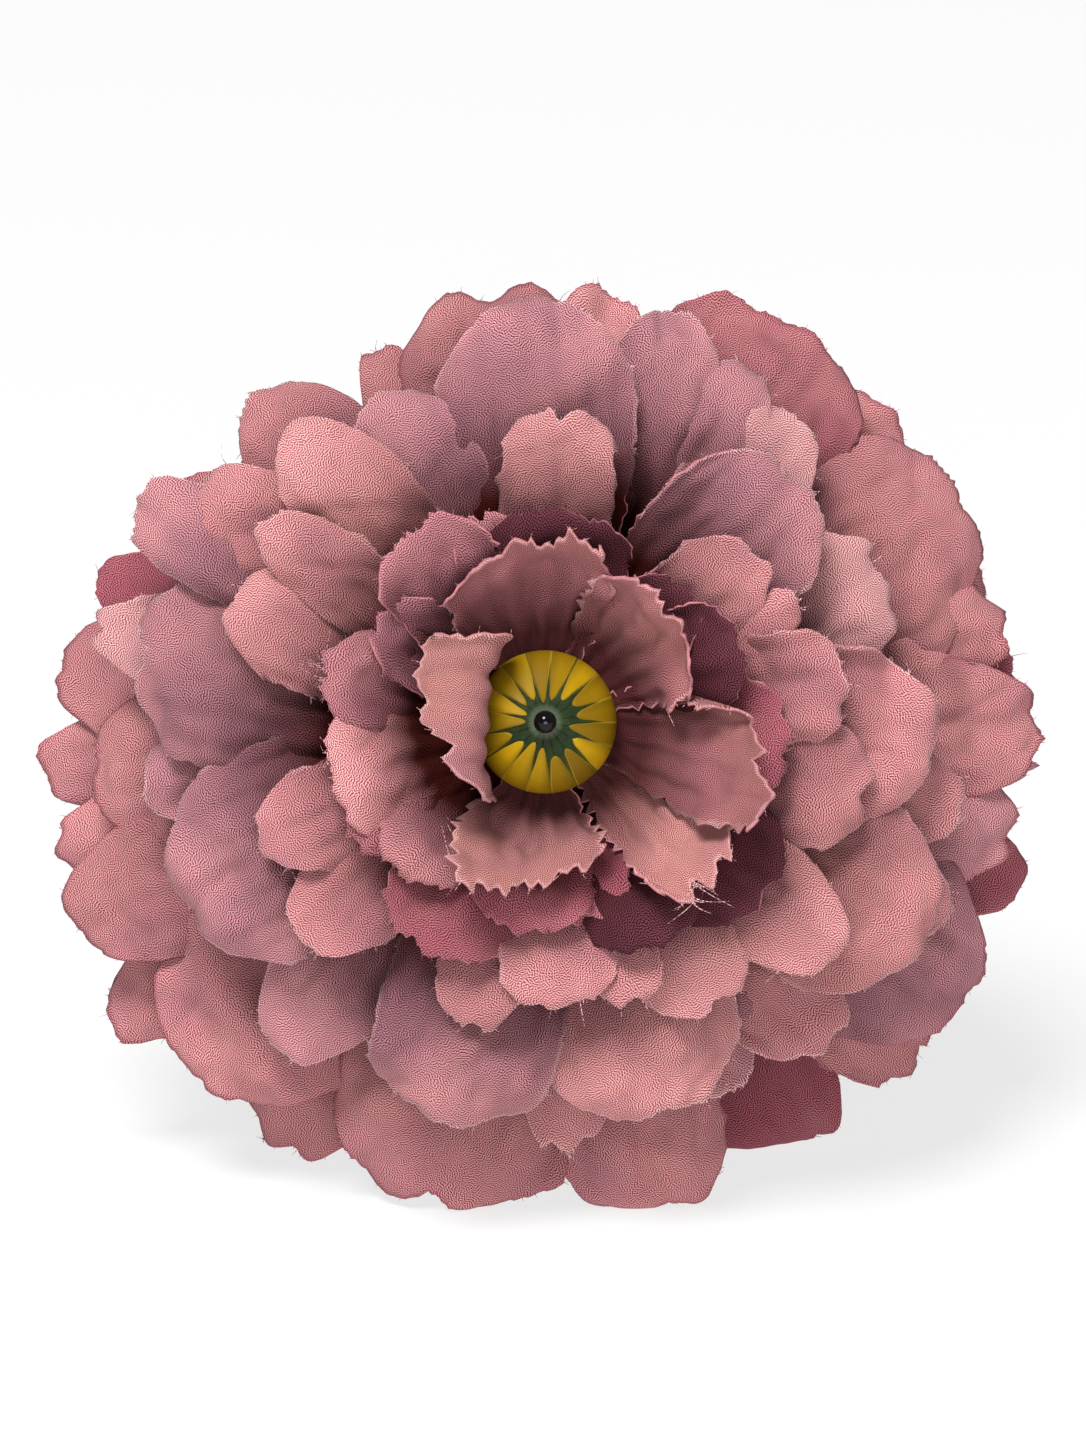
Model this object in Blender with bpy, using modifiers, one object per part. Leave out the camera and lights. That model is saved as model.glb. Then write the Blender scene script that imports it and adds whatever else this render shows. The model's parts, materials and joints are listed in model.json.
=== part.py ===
"""An artificial flower head: layers of cloth petals on a plastic peg, with a ribbed button and a pin.

It stands on the tips of its lowest petals and faces -Y, looking a little upwards. Everything is
modelled in the flower's own frame (X across the face, Y up the face, Z out of the face along the
flower's axis) and hangs from one empty that stands the flower up. Petal sizes are in millimetres.
"""
import math
from typing import NamedTuple

import bmesh
import bpy
import numpy as np
from mathutils import Vector

MM = 0.001

# How the head stands
FACE_UP = math.radians(18.0)  # the face looks this far above level
HEAD_HEIGHT = 49.3  # flower frame's origin above the surface
HEAD_SHIFT_X = 0.75  # puts the middle of the head's box over the origin
HEAD_SHIFT_Y = 15.4
REST_BEND = 0.5  # petals near the surface bend over this height
SOLE = 0.1  # a bent petal's middle surface stops this far above the surface
FOOT = 0.5  # corners lower than this are set flat on the surface

# Cloth as solids
BLADE = 0.8  # petal thickness
GAP = 0.3  # clearance between separate pieces

# The peg, and the ring at the middle of each petal layer
PEG_RADIUS = 3.0
PEG_TOP = 34.6
PEG_BOTTOM = -3.7
RING_INNER = PEG_RADIUS + GAP
RING_OUTER = 8.6
RING_THICK = 2.0
RING_SIDES = 16
ROOT_RADIUS = 6.0
ROOT_LIFT = 0.3  # the share of a petal's lift that its root has
ROOT_STAGGER = 0.15  # petals leave the ring at slightly different heights
STAGGER_TURN = 2.4  # radians between one petal's place in the stagger and the next one's

# The centre button and its pin
BUTTON_RADIUS = 7.8
BUTTON_BASE = 35.0
BUTTON_RIM = 1.6
BUTTON_DOME = 4.6
BUTTON_RIBS = 17
BUTTON_RIB_DEPTH = 0.28
BUTTON_RINGS = 4
PIN_RADIUS = 0.5
PIN_HOLE = PIN_RADIUS + GAP
PIN_HEAD = 1.25
PIN_DEPTH = 6.0  # how far the shank reaches below the button's base

# The calyx behind the last layer
CALYX_CUP = ((8.4, 2.9), (8.4, 0.7), (6.9, -2.1), (4.0, -6.6))  # radius and height, from the rim
STUB_RADIUS = 3.1
STUB_TOP = -8.6
STUB_END = -14.0
SOCKET_FLOOR = -4.1
SEPALS = 6
SEPAL_ROOT = 4.1  # radius and height at which a sepal starts
SEPAL_HEIGHT = 0.6
SEPAL_REACH = 21.0
SEPAL_WIDTH = 9.0
SEPAL_POINT = 0.88  # the share of its width that it loses towards the tip
SEPAL_DROP = 2.6
SEPAL_ARCH = 0.8

# How the petals' midribs and cross-sections bend
RIB_STEPS = 48
RIB_PULL = 0.36  # how strongly the root's and the tip's tilt shape the midrib
CURL_FROM = 0.72  # the tip's curl starts this far along the petal
BROADEST = 0.70  # the petal is broadest this far along
TIP_TAPER = 0.08
ROOT_CUP = 26.0  # degrees that the gathered root's edges turn towards the face
CUP_FROM = 0.6
NOTCH_WIDTH = 0.13
FOLD_FROM = 0.25  # a folded edge opens out towards the root, from this far along
SECTION_STEPS = 12  # steps that add up a cross-section's slopes
WAVE_SHIFT = 0.37  # turns between one petal's edge wave and the next one's


class Layer(NamedTuple):
    """One die-cut layer: where its midribs start, and the height and tilt of their tips."""

    root_height: float
    root_tilt: float
    tip_radius: float
    tip_height: float
    tip_slope: float
    tip_tilt: float
    claw: float  # root width over full width
    along: int  # faces from root to tip
    across: int  # faces from edge to edge
    colour: tuple
    petals: tuple


class Fold(NamedTuple):
    """An edge that is folded over."""

    side: int  # 1 for the edge on the side of growing azimuth, -1 for the other
    angle: float  # degrees, positive towards the viewer
    start: float  # how far across from the midrib it begins, in parts of the half width


class Petal(NamedTuple):
    """One petal: azimuth on the face from +X, then its sizes in millimetres and bends in degrees."""

    azimuth: float
    reach: float
    width: float
    lift: float
    cup: float  # positive turns the edges towards the face
    lean: float  # the root's azimuth less the tip's
    curl: float  # positive turns the tip towards the face
    edge: str
    fold: Fold = Fold(1, 0, 0.5)


class Edge(NamedTuple):
    """The outline of a tip, in parts of the petal's length."""

    drop: float  # how much shorter the sides are than the middle
    power: float
    notch: float
    wave: float
    waves: float
    skew: float  # how much longer the side of growing azimuth is


EDGES = {
    "round": Edge(0.22, 3.2, 0.00, 0.006, 2.0, 0.0),
    "notched": Edge(0.13, 5.0, 0.06, 0.006, 2.0, 0.0),
    "square": Edge(0.12, 4.0, 0.015, 0.014, 2.5, 0.0),
    "waved": Edge(0.16, 3.2, 0.00, 0.016, 3.0, 0.0),
    "toothed": Edge(0.14, 2.6, 0.00, 0.050, 3.5, 0.0),
    "toothed_left": Edge(0.14, 2.6, 0.00, 0.040, 3.5, -0.20),
    "toothed_right": Edge(0.14, 2.6, 0.00, 0.040, 3.5, 0.15),
    "pointed": Edge(0.55, 1.3, 0.00, 0.010, 2.0, 0.0),
}

# The petal left of the button stands up beside it and folds outwards: radius and height points
FOLDED_AZIMUTH = 176
FOLDED_RIB = ((6.0, 33.0), (17.0, 32.8), (-3.0, 45.0), (13.0, 47.0))

RUFFLE = (
    Petal(97, 19.7, 20.0, -0.6, 38, 0, 12, "toothed_left"),
    Petal(41, 18.4, 17.0, 0.8, 34, 0, 15, "toothed_right"),
    Petal(350, 24.0, 16.5, 1.4, 14, 4, 5, "toothed_left", Fold(1, 170, 0.34)),
    Petal(317, 24.2, 13.0, -1.2, -10, 4, -20, "toothed", Fold(-1, 100, 0.4)),
    Petal(262, 17.3, 16.5, -1.5, 16, 0, -20, "toothed_left"),
    Petal(FOLDED_AZIMUTH, 13.0, 18.5, 1.0, 20, 0, 0, "toothed_left"),
)

COLLAR = (
    Petal(86, 23.0, 16.0, 0.6, 10, 0, 0, "waved"),
    Petal(107, 23.5, 9.0, -0.6, 10, 0, 10, "waved"),
    Petal(125, 25.5, 14.0, 1.4, 22, 0, 15, "waved"),
    Petal(148, 21.0, 10.0, 0.0, 22, 0, 10, "waved"),
    Petal(167, 24.5, 11.0, 1.2, -25, 0, -25, "waved"),
    Petal(196, 24.0, 14.0, 1.4, -16, 0, -15, "square"),
    Petal(211, 24.5, 8.0, -1.0, 0, 0, 0, "waved"),
    Petal(225, 22.5, 12.0, 0.8, -12, 0, -15, "waved"),
    Petal(243, 28.0, 15.0, -0.8, -8, 0, -5, "waved"),
    Petal(266, 22.8, 13.0, 0.8, -5, 0, -5, "waved"),
    Petal(284, 22.0, 10.0, -1.0, 0, 0, 0, "waved"),
    Petal(299, 27.0, 14.0, 0.0, -8, 0, -5, "waved"),
    Petal(322, 30.5, 15.0, -1.2, -8, 0, -5, "waved"),
    Petal(354, 26.5, 14.0, -1.5, 0, 0, 0, "waved"),
    Petal(44, 21.0, 10.0, -0.6, 15, 0, 5, "waved"),
    Petal(23, 23.0, 12.0, 0.3, 15, 0, 5, "waved"),
)

SMALL = (
    Petal(87, 34.0, 13.0, 0.0, -26, 0, -14, "notched"),
    Petal(38, 29.5, 12.5, 1.0, -30, 0, -20, "round"),
    Petal(25, 30.5, 8.0, -0.4, -15, 0, -10, "round"),
    Petal(8, 33.0, 13.0, 1.0, -25, 0, -10, "square", Fold(1, 60, 0.4)),
    Petal(347, 36.5, 14.5, -0.4, -26, 0, -18, "square"),
    Petal(321, 41.0, 13.5, 0.6, -24, 0, -16, "round"),
    Petal(301, 36.5, 13.5, -0.4, -18, 0, -10, "square"),
    Petal(288, 32.0, 9.0, 0.6, -10, 0, -15, "square"),
    Petal(273, 31.0, 13.0, 1.6, -14, 0, -15, "square"),
    Petal(256, 34.5, 10.5, -0.4, -14, 0, -10, "waved"),
    Petal(222, 36.0, 13.0, -0.2, -24, 0, -20, "round"),
    Petal(203, 34.0, 12.0, 1.0, -28, 0, -20, "round"),
    Petal(159, 37.0, 14.5, -0.2, -36, 0, -26, "round"),
    Petal(145, 37.5, 10.0, 1.4, -16, 0, -5, "round", Fold(1, -50, 0.3)),
    Petal(131, 42.5, 14.0, 0.5, -30, 0, -20, "round"),
)

INNER = (
    Petal(91.5, 47.0, 22.5, 0.5, -24, 0, -12, "round"),
    Petal(44, 38.5, 19.5, 0.8, -16, 0, -4, "round", Fold(1, 70, 0.35)),
    Petal(357.5, 43.5, 20.0, 0.6, -26, 0, -14, "round", Fold(1, 60, 0.5)),
    Petal(330, 49.0, 23.5, 0.0, -24, 0, -14, "round"),
    Petal(287, 45.5, 23.0, 0.0, -30, 0, -18, "square"),
    Petal(256, 45.8, 21.5, 1.2, -28, 0, -14, "square"),
    Petal(206, 45.5, 25.0, 0.6, -32, 0, -20, "round"),
    Petal(171, 46.0, 22.5, -0.4, -32, 0, -18, "square"),
    Petal(152, 51.5, 11.5, 0.6, -14, 0, -4, "square", Fold(1, -50, 0.4)),
    Petal(145, 46.8, 13.0, 1.6, -34, 0, -20, "round"),
    Petal(116, 40.5, 14.0, -0.4, -18, 0, -8, "round"),
)

MIDDLE = (
    Petal(71, 48.5, 14.5, 0.8, -26, 0, -10, "round"),
    Petal(60, 46.0, 13.0, 0.0, -20, 0, -8, "round"),
    Petal(50, 44.0, 14.0, -0.4, -12, 0, 0, "round"),
    Petal(23, 41.0, 17.0, 0.8, -16, 0, -4, "waved"),
    Petal(348, 47.0, 14.0, 0.4, -16, 0, -4, "round"),
    Petal(334, 50.0, 12.0, -0.6, -16, 0, -4, "round"),
    Petal(311, 47.5, 15.0, 0.4, -16, 0, -4, "waved"),
    Petal(296, 46.0, 15.0, -0.4, -12, 0, 0, "round"),
    Petal(273, 47.5, 11.0, 0.4, -12, 0, 0, "waved"),
    Petal(231, 47.5, 15.0, 0.4, -22, 0, -10, "round"),
    Petal(189, 45.0, 14.0, 0.0, -14, 0, 0, "round"),
    Petal(131, 49.0, 16.5, 0.6, -28, 0, -16, "round"),
    Petal(168, 51.0, 11.0, -0.4, -12, 0, -4, "waved"),
)

OUTER = (
    Petal(58, 53.5, 26.5, 0.6, -24, 0, -14, "square"),
    Petal(27.5, 54.2, 29.0, 1.2, -30, 0, -18, "round"),
    Petal(12, 53.0, 15.0, -0.6, -16, 0, -6, "waved"),
    Petal(359, 56.0, 16.0, 0.8, -20, 0, -8, "waved"),
    Petal(346, 54.5, 16.0, -0.4, -18, 0, -8, "waved"),
    Petal(327, 57.8, 25.0, 0.6, -26, 0, -14, "round"),
    Petal(283, 57.4, 20.0, 0.0, -22, 0, -8, "square"),
    Petal(257, 56.1, 28.0, 0.8, -24, 0, -12, "square"),
    Petal(224.5, 56.8, 28.0, 0.4, -28, 0, -16, "round"),
    Petal(203, 58.0, 18.0, -0.4, -18, 0, -6, "round"),
    Petal(187, 52.0, 20.0, 0.6, -24, 0, -12, "round"),
    Petal(162, 53.0, 12.0, -0.6, -16, 0, -6, "round"),
    Petal(97, 49.2, 23.0, 0.4, -20, 0, -10, "square"),
    Petal(82, 49.5, 13.0, -0.4, -16, 0, -6, "round"),
    Petal(134, 46.0, 18.0, 0.0, -14, 0, -4, "round"),
)

BACK = (
    Petal(4, 54.0, 14.0, 0.8, -14, 0, -4, "waved"),
    Petal(355, 57.2, 12.0, -0.8, -10, 0, 0, "pointed"),
    Petal(341, 57.3, 14.0, 0.0, -14, 0, -4, "round"),
    Petal(317, 57.5, 15.0, 0.8, -14, 0, -4, "waved"),
    Petal(274, 51.0, 18.0, 0.0, -12, 0, -4, "waved"),
    Petal(254, 56.6, 14.0, 0.8, -14, 0, -4, "waved"),
    Petal(238, 57.0, 17.0, -0.8, -14, 0, -4, "waved"),
    Petal(215, 60.0, 14.0, 0.4, -14, 0, -4, "round"),
    Petal(195, 57.0, 12.0, 0.8, -14, 0, -4, "waved"),
    Petal(185, 58.0, 13.0, -0.8, -14, 0, -4, "round"),
    Petal(174, 55.5, 18.0, 0.6, -20, 0, -8, "round"),
    Petal(150, 50.0, 18.0, -0.6, -14, 0, -4, "round"),
    Petal(114, 46.5, 10.0, 0.4, -16, 0, -4, "round"),
    Petal(74, 47.5, 13.0, 0.0, -12, 0, -4, "round"),
    Petal(42, 53.0, 18.0, 0.8, -16, 0, -4, "round"),
    Petal(20, 53.0, 16.0, -0.8, -16, 0, -4, "round"),
)

LAST = (
    Petal(300, 58.2, 19.0, -1.0, -16, 0, -2, "square"),
    Petal(243, 58.2, 18.0, -1.0, -16, 0, -2, "square"),
    Petal(272, 46.0, 18.0, 0.6, -14, 0, -4, "round"),
    Petal(334, 50.0, 19.0, 0.6, -14, 0, -4, "round"),
    Petal(6, 49.0, 19.0, -0.6, -14, 0, -4, "round"),
    Petal(40, 47.0, 19.0, 0.6, -14, 0, -4, "round"),
    Petal(76, 44.0, 19.0, -0.6, -14, 0, -4, "round"),
    Petal(110, 43.0, 19.0, 0.6, -14, 0, -4, "round"),
    Petal(144, 45.0, 19.0, -0.6, -14, 0, -4, "round"),
    Petal(178, 49.0, 19.0, 0.6, -14, 0, -4, "round"),
    Petal(211, 52.0, 19.0, -0.4, -14, 0, -4, "round"),
)

LAYERS = {
    "petals_ruffle": Layer(33.0, 0, 20, 45.0, 0.00, 50, 0.42, 5, 6, (0.52, 0.30, 0.27), RUFFLE),
    "petals_collar": Layer(29.6, 8, 25, 38.6, 0.00, 2, 0.30, 3, 3, (0.30, 0.09, 0.13), COLLAR),
    "petals_small": Layer(26.2, 14, 35, 34.5, -0.10, -6, 0.28, 3, 4, (0.55, 0.23, 0.24), SMALL),
    "petals_inner": Layer(22.4, 20, 46, 26.5, -0.30, -26, 0.20, 3, 4, (0.36, 0.17, 0.22), INNER),
    "petals_middle": Layer(18.2, 18, 46, 20.0, -0.35, -28, 0.18, 3, 4, (0.40, 0.18, 0.22), MIDDLE),
    "petals_outer": Layer(14.0, 12, 54, 10.5, -0.30, -28, 0.15, 3, 4, (0.45, 0.19, 0.23), OUTER),
    "petals_back": Layer(9.4, 8, 54, 2.5, -0.30, -28, 0.15, 3, 3, (0.42, 0.16, 0.20), BACK),
    "petals_last": Layer(4.8, 2, 50, -6.5, -0.30, -26, 0.15, 3, 3, (0.42, 0.15, 0.19), LAST),
}


def clear_scene():
    for obj in list(bpy.data.objects):
        bpy.data.objects.remove(obj, do_unlink=True)


def principled(name, colour, roughness, metallic=0.0):
    material = bpy.data.materials.new(name)
    material.use_nodes = True
    shader = material.node_tree.nodes["Principled BSDF"]
    shader.inputs["Base Color"].default_value = (*colour, 1.0)
    shader.inputs["Roughness"].default_value = roughness
    shader.inputs["Metallic"].default_value = metallic
    return material


def add_object(name, mesh, collection, parent, material=None):
    obj = bpy.data.objects.new(name, mesh)
    obj.parent = parent
    collection.objects.link(obj)
    if material:
        mesh.materials.append(material)
    return obj


def mesh_from(bm, name):
    mesh = bpy.data.meshes.new(name)
    bm.to_mesh(mesh)
    bm.free()
    return mesh


def apply_modifiers(obj):
    """Give the object the mesh that its modifiers make, and drop the modifiers."""
    bpy.context.view_layer.update()
    evaluated = obj.evaluated_get(bpy.context.evaluated_depsgraph_get())
    mesh = bpy.data.meshes.new_from_object(evaluated)
    obj.modifiers.clear()
    obj.data = mesh


def cubic(points, q):
    """A cubic Bezier curve through the plane, at the values q."""
    start, pull, push, end = (np.array(p) for p in points)
    q = q[..., None]
    rest = 1 - q
    return rest**3 * start + 3 * rest**2 * q * pull + 3 * rest * q**2 * push + q**3 * end


def direction(degrees):
    angle = math.radians(degrees)
    return np.array((math.cos(angle), math.sin(angle)))


def rib_controls(layer, petal):
    """The midrib's four control points, as radius from the axis and height."""
    if layer.petals is RUFFLE and petal.azimuth == FOLDED_AZIMUTH:
        return FOLDED_RIB
    start = np.array((ROOT_RADIUS, layer.root_height + ROOT_LIFT * petal.lift))
    height = layer.tip_height + layer.tip_slope * (petal.reach - layer.tip_radius) + petal.lift
    end = np.array((petal.reach, height))
    pull = RIB_PULL * np.linalg.norm(end - start)
    return start, start + pull * direction(layer.root_tilt), end - pull * direction(layer.tip_tilt), end


def midrib(layer, petal):
    """The midrib's stations: share of its length, radius and height, then the tilts between them."""
    line = cubic(rib_controls(layer, petal), np.linspace(0, 1, RIB_STEPS + 1))
    steps = np.diff(line, axis=0)
    lengths = np.linalg.norm(steps, axis=1)
    share = np.concatenate(([0], np.cumsum(lengths))) / lengths.sum()
    middles = (share[1:] + share[:-1]) / 2
    beyond = np.clip((middles - CURL_FROM) / (1 - CURL_FROM), 0, None)
    tilts = np.arctan2(steps[:, 1], steps[:, 0]) + math.radians(petal.curl) * beyond**1.5
    radii = line[0, 0] + np.concatenate(([0], np.cumsum(lengths * np.cos(tilts))))
    heights = line[0, 1] + np.concatenate(([0], np.cumsum(lengths * np.sin(tilts))))
    return share, radii, heights, middles, tilts


def half_width(layer, petal, q):
    narrow = layer.claw + (1 - layer.claw) * np.sin(math.pi / 2 * np.clip(q / BROADEST, 0, 1))
    tip = 1 - TIP_TAPER * (np.clip(q - BROADEST, 0, None) / (1 - BROADEST)) ** 2
    return petal.width / 2 * narrow * tip


def tip_outline(petal, t, phase):
    """How far along the midrib the petal ends at t, from -1 to 1 across."""
    edge = EDGES[petal.edge]
    wave = edge.wave * np.cos(math.pi * edge.waves * t + 2 * math.pi * phase) * (1 - t**4)
    notch = edge.notch * np.exp(-((t / NOTCH_WIDTH) ** 2))
    return 1 - edge.drop * np.abs(t) ** edge.power - notch + wave + edge.skew * t


def section(petal, q, t):
    """The cross-section at q: distance across and rise at t, in parts of the half width."""
    cup = np.radians(ROOT_CUP * (1 - q) ** 2 + petal.cup * np.minimum(1, q / CUP_FROM))
    fold = petal.fold
    grown = np.clip((q - FOLD_FROM) / (1 - FOLD_FROM), 0, 1) ** 0.5
    across = 0
    rise = 0
    for step in range(SECTION_STEPS):
        part = t * (step + 0.5) / SECTION_STEPS
        beyond = np.clip((fold.side * part - fold.start) / (1 - fold.start), 0, 1)
        slope = cup * part + fold.side * math.radians(fold.angle) * beyond * grown
        across = across + np.cos(slope) / SECTION_STEPS
        rise = rise + np.sin(slope) / SECTION_STEPS
    return t * across, t * rise


def petal_points(layer, petal, s, t, phase):
    """Points of the petal's middle surface, s from root to tip edge and t across, in millimetres."""
    q = s * tip_outline(petal, t, phase)
    share, radii, heights, middles, tilts = midrib(layer, petal)
    tilt = np.interp(q, middles, tilts)
    past = np.clip(q - 1, 0, None) * petal.reach
    radius = np.interp(q, share, radii) + past * np.cos(tilt)
    height = np.interp(q, share, heights) + past * np.sin(tilt)
    half = half_width(layer, petal, q)
    across, rise = section(petal, q, t)
    side = across * half
    rise = rise * half
    radius = radius - np.sin(tilt) * rise
    height = height + np.cos(tilt) * rise
    angle = np.radians(petal.azimuth + petal.lean * (1 - q))
    x = radius * np.cos(angle) - side * np.sin(angle)
    y = radius * np.sin(angle) + side * np.cos(angle)
    return bend_to_surface(np.stack((x, y, height), -1))


def bend_to_surface(points):
    """Lay what would reach below the surface flat on it, with a soft bend above it."""
    up = np.array((0, math.cos(FACE_UP), math.sin(FACE_UP)))
    above = points @ up + HEAD_HEIGHT - SOLE
    soft = REST_BEND * np.logaddexp(0, above / REST_BEND)
    return points + (soft - above)[..., None] * up


def petal_object(name, layer, petal, index, collection, parent):
    """One petal: a grid bent to shape, split into triangles and given its thickness."""
    bm = bmesh.new()
    bmesh.ops.create_grid(bm, x_segments=layer.across, y_segments=layer.along, size=1)
    grid = np.array([v.co for v in bm.verts])
    phase = (index * WAVE_SHIFT) % 1
    points = petal_points(layer, petal, (grid[:, 1] + 1) / 2, grid[:, 0], phase)
    points[:, 2] += ROOT_STAGGER * math.cos(STAGGER_TURN * index) * np.clip(1 - grid[:, 1], 0, 1)
    for vert, point in zip(bm.verts, points):
        vert.co = Vector(point) * MM
    bmesh.ops.triangulate(bm, faces=bm.faces)
    obj = add_object(name, mesh_from(bm, name), collection, parent)
    solidify = obj.modifiers.new("Cloth", "SOLIDIFY")
    solidify.thickness = BLADE * MM
    solidify.offset = 0
    apply_modifiers(obj)
    return obj


def turned(name, profile, steps, collection, parent, material=None):
    """A closed profile of radius and height in millimetres, turned round the flower's axis."""
    mesh = bpy.data.meshes.new(name)
    count = len(profile)
    loop = [(i, (i + 1) % count) for i in range(count)]
    on_axis = profile[0][0] == 0
    mesh.from_pydata([(r * MM, 0, h * MM) for r, h in profile], loop[:-1] if on_axis else loop, [])
    obj = add_object(name, mesh, collection, parent, material)
    screw = obj.modifiers.new("Turn", "SCREW")
    screw.steps = steps
    screw.render_steps = steps
    screw.use_merge_vertices = True
    screw.merge_threshold = 0.00001
    screw.use_smooth_shade = False
    apply_modifiers(obj)
    return obj


def join_collection(obj, parts):
    """Join every object of the collection to obj, then remove them."""
    boolean = obj.modifiers.new("Join", "BOOLEAN")
    boolean.operation = "UNION"
    boolean.operand_type = "COLLECTION"
    boolean.collection = parts
    boolean.solver = "MANIFOLD"
    apply_modifiers(obj)
    keep_outer_skin(obj.data)
    for part in list(parts.objects):
        bpy.data.objects.remove(part, do_unlink=True)
    bpy.data.collections.remove(parts)


def keep_outer_skin(mesh):
    """Keep the largest connected skin: hollows sealed between petals are filled, scraps dropped."""
    bm = bmesh.new()
    bm.from_mesh(mesh)
    waiting = set(bm.verts)
    skins = []
    while waiting:
        front = [waiting.pop()]
        skin = []
        while front:
            vert = front.pop()
            skin.append(vert)
            for edge in vert.link_edges:
                other = edge.other_vert(vert)
                if other in waiting:
                    waiting.remove(other)
                    front.append(other)
        skins.append(skin)
    skins.sort(key=len)
    for skin in skins[:-1]:
        bmesh.ops.delete(bm, geom=skin, context="VERTS")
    bm.to_mesh(mesh)
    bm.free()


def flatten_feet(obj):
    """Set the lowest corners on the surface, so that the head stands on small flat spots."""
    place = obj.matrix_world
    back = place.inverted()
    for vert in obj.data.vertices:
        spot = place @ vert.co
        if spot.z < FOOT * MM:
            spot.z = 0
            vert.co = back @ spot


def petal_layer(name, layer, collection, parent):
    """A layer's petals, joined to the ring that is threaded on the peg."""
    low = layer.root_height - RING_THICK / 2
    high = low + RING_THICK
    profile = [(RING_INNER, high), (RING_OUTER, high), (RING_OUTER, low), (RING_INNER, low)]
    ring = turned(name, profile, RING_SIDES, collection, parent, principled(name, layer.colour, 0.9))
    parts = bpy.data.collections.new(name + "_parts")
    bpy.context.scene.collection.children.link(parts)
    for index, petal in enumerate(layer.petals):
        petal_object(f"{name}_{index}", layer, petal, index, parts, parent)
    join_collection(ring, parts)
    flatten_feet(ring)
    return ring


def peg(collection, parent):
    """The post through every layer, with a bore in its top for the pin."""
    bore_floor = BUTTON_BASE - PIN_DEPTH - GAP
    profile = [
        (0, bore_floor),
        (PIN_HOLE, bore_floor),
        (PIN_HOLE, PEG_TOP),
        (PEG_RADIUS, PEG_TOP),
        (PEG_RADIUS, PEG_BOTTOM),
        (0, PEG_BOTTOM),
    ]
    material = principled("peg_plastic", (0.10, 0.16, 0.06), 0.5)
    return turned("peg", profile, 16, collection, parent, material)


def centre_button(collection, parent):
    """A low dome with a rib for each painted ray, and a hole in the middle for the pin."""
    profile = [(PIN_HOLE, BUTTON_BASE)]
    for ring in range(BUTTON_RINGS + 1):
        share = ring / BUTTON_RINGS
        radius = PIN_HOLE + (BUTTON_RADIUS - PIN_HOLE) * math.sin(share * math.pi / 2)
        height = BUTTON_BASE + BUTTON_RIM + BUTTON_DOME * math.cos(share * math.pi / 2)
        profile.append((radius, height))
    profile.append((BUTTON_RADIUS, BUTTON_BASE))
    material = principled("button_plastic", (0.42, 0.33, 0.02), 0.45)
    button = turned("centre_button", profile, BUTTON_RIBS * 4, collection, parent, material)
    for vert in button.data.vertices:
        radius = math.hypot(vert.co.x, vert.co.y) / MM
        azimuth = math.atan2(vert.co.y, vert.co.x)
        if vert.co.z / MM > BUTTON_BASE + BUTTON_RIM / 2 and radius > PIN_HOLE * 1.5:
            groove = BUTTON_RIB_DEPTH * (1 - math.cos(BUTTON_RIBS * azimuth)) / 2
            vert.co.z -= groove * MM * math.sin(math.pi * min(1, radius / BUTTON_RADIUS) ** 2 / 2)
    return button


def centre_pin(collection, parent):
    """A bead on a shank, pushed through the button into the peg."""
    top = BUTTON_BASE + BUTTON_RIM + BUTTON_DOME
    centre = top + PIN_HEAD * 0.75 + GAP
    neck = math.asin(PIN_RADIUS / PIN_HEAD)
    profile = []
    for ring in range(9):
        angle = ring / 8 * (math.pi - neck)
        profile.append((PIN_HEAD * math.sin(angle), centre + PIN_HEAD * math.cos(angle)))
    profile[0] = (0, centre + PIN_HEAD)
    profile.append((PIN_RADIUS, BUTTON_BASE - PIN_DEPTH))
    profile.append((0, BUTTON_BASE - PIN_DEPTH))
    material = principled("pin_enamel", (0.01, 0.01, 0.012), 0.12)
    return turned("centre_pin", profile, 12, collection, parent, material)


def sepal(name, azimuth, collection, parent):
    """A pointed blade that lies behind the last layer."""
    bm = bmesh.new()
    bmesh.ops.create_grid(bm, x_segments=2, y_segments=3, size=1)
    for vert in bm.verts:
        along = (vert.co.y + 1) / 2
        radius = SEPAL_ROOT + (SEPAL_REACH - SEPAL_ROOT) * along
        half = SEPAL_WIDTH / 2 * (1 - SEPAL_POINT * along**1.6)
        height = SEPAL_HEIGHT - SEPAL_DROP * along**2 - SEPAL_ARCH * vert.co.x**2
        side = vert.co.x * half
        x = radius * math.cos(azimuth) - side * math.sin(azimuth)
        y = radius * math.sin(azimuth) + side * math.cos(azimuth)
        vert.co = Vector((x, y, height)) * MM
    bmesh.ops.triangulate(bm, faces=bm.faces)
    obj = add_object(name, mesh_from(bm, name), collection, parent)
    solidify = obj.modifiers.new("Blade", "SOLIDIFY")
    solidify.thickness = BLADE * MM
    solidify.offset = 0
    apply_modifiers(obj)
    return obj


def calyx(collection, parent):
    """The green cup: a socket for the peg, sepals, and a stub cut off flat."""
    rim_height = CALYX_CUP[0][1]
    profile = [(0, SOCKET_FLOOR), (RING_INNER, SOCKET_FLOOR), (RING_INNER, rim_height), *CALYX_CUP]
    profile += [(STUB_RADIUS, STUB_TOP), (STUB_RADIUS, STUB_END), (0, STUB_END)]
    material = principled("calyx_plastic", (0.09, 0.17, 0.05), 0.55)
    cup = turned("calyx", profile, 16, collection, parent, material)
    parts = bpy.data.collections.new("sepals")
    bpy.context.scene.collection.children.link(parts)
    for index in range(SEPALS):
        sepal(f"sepal_{index}", 2 * math.pi * index / SEPALS, parts, parent)
    join_collection(cup, parts)
    return cup


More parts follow.
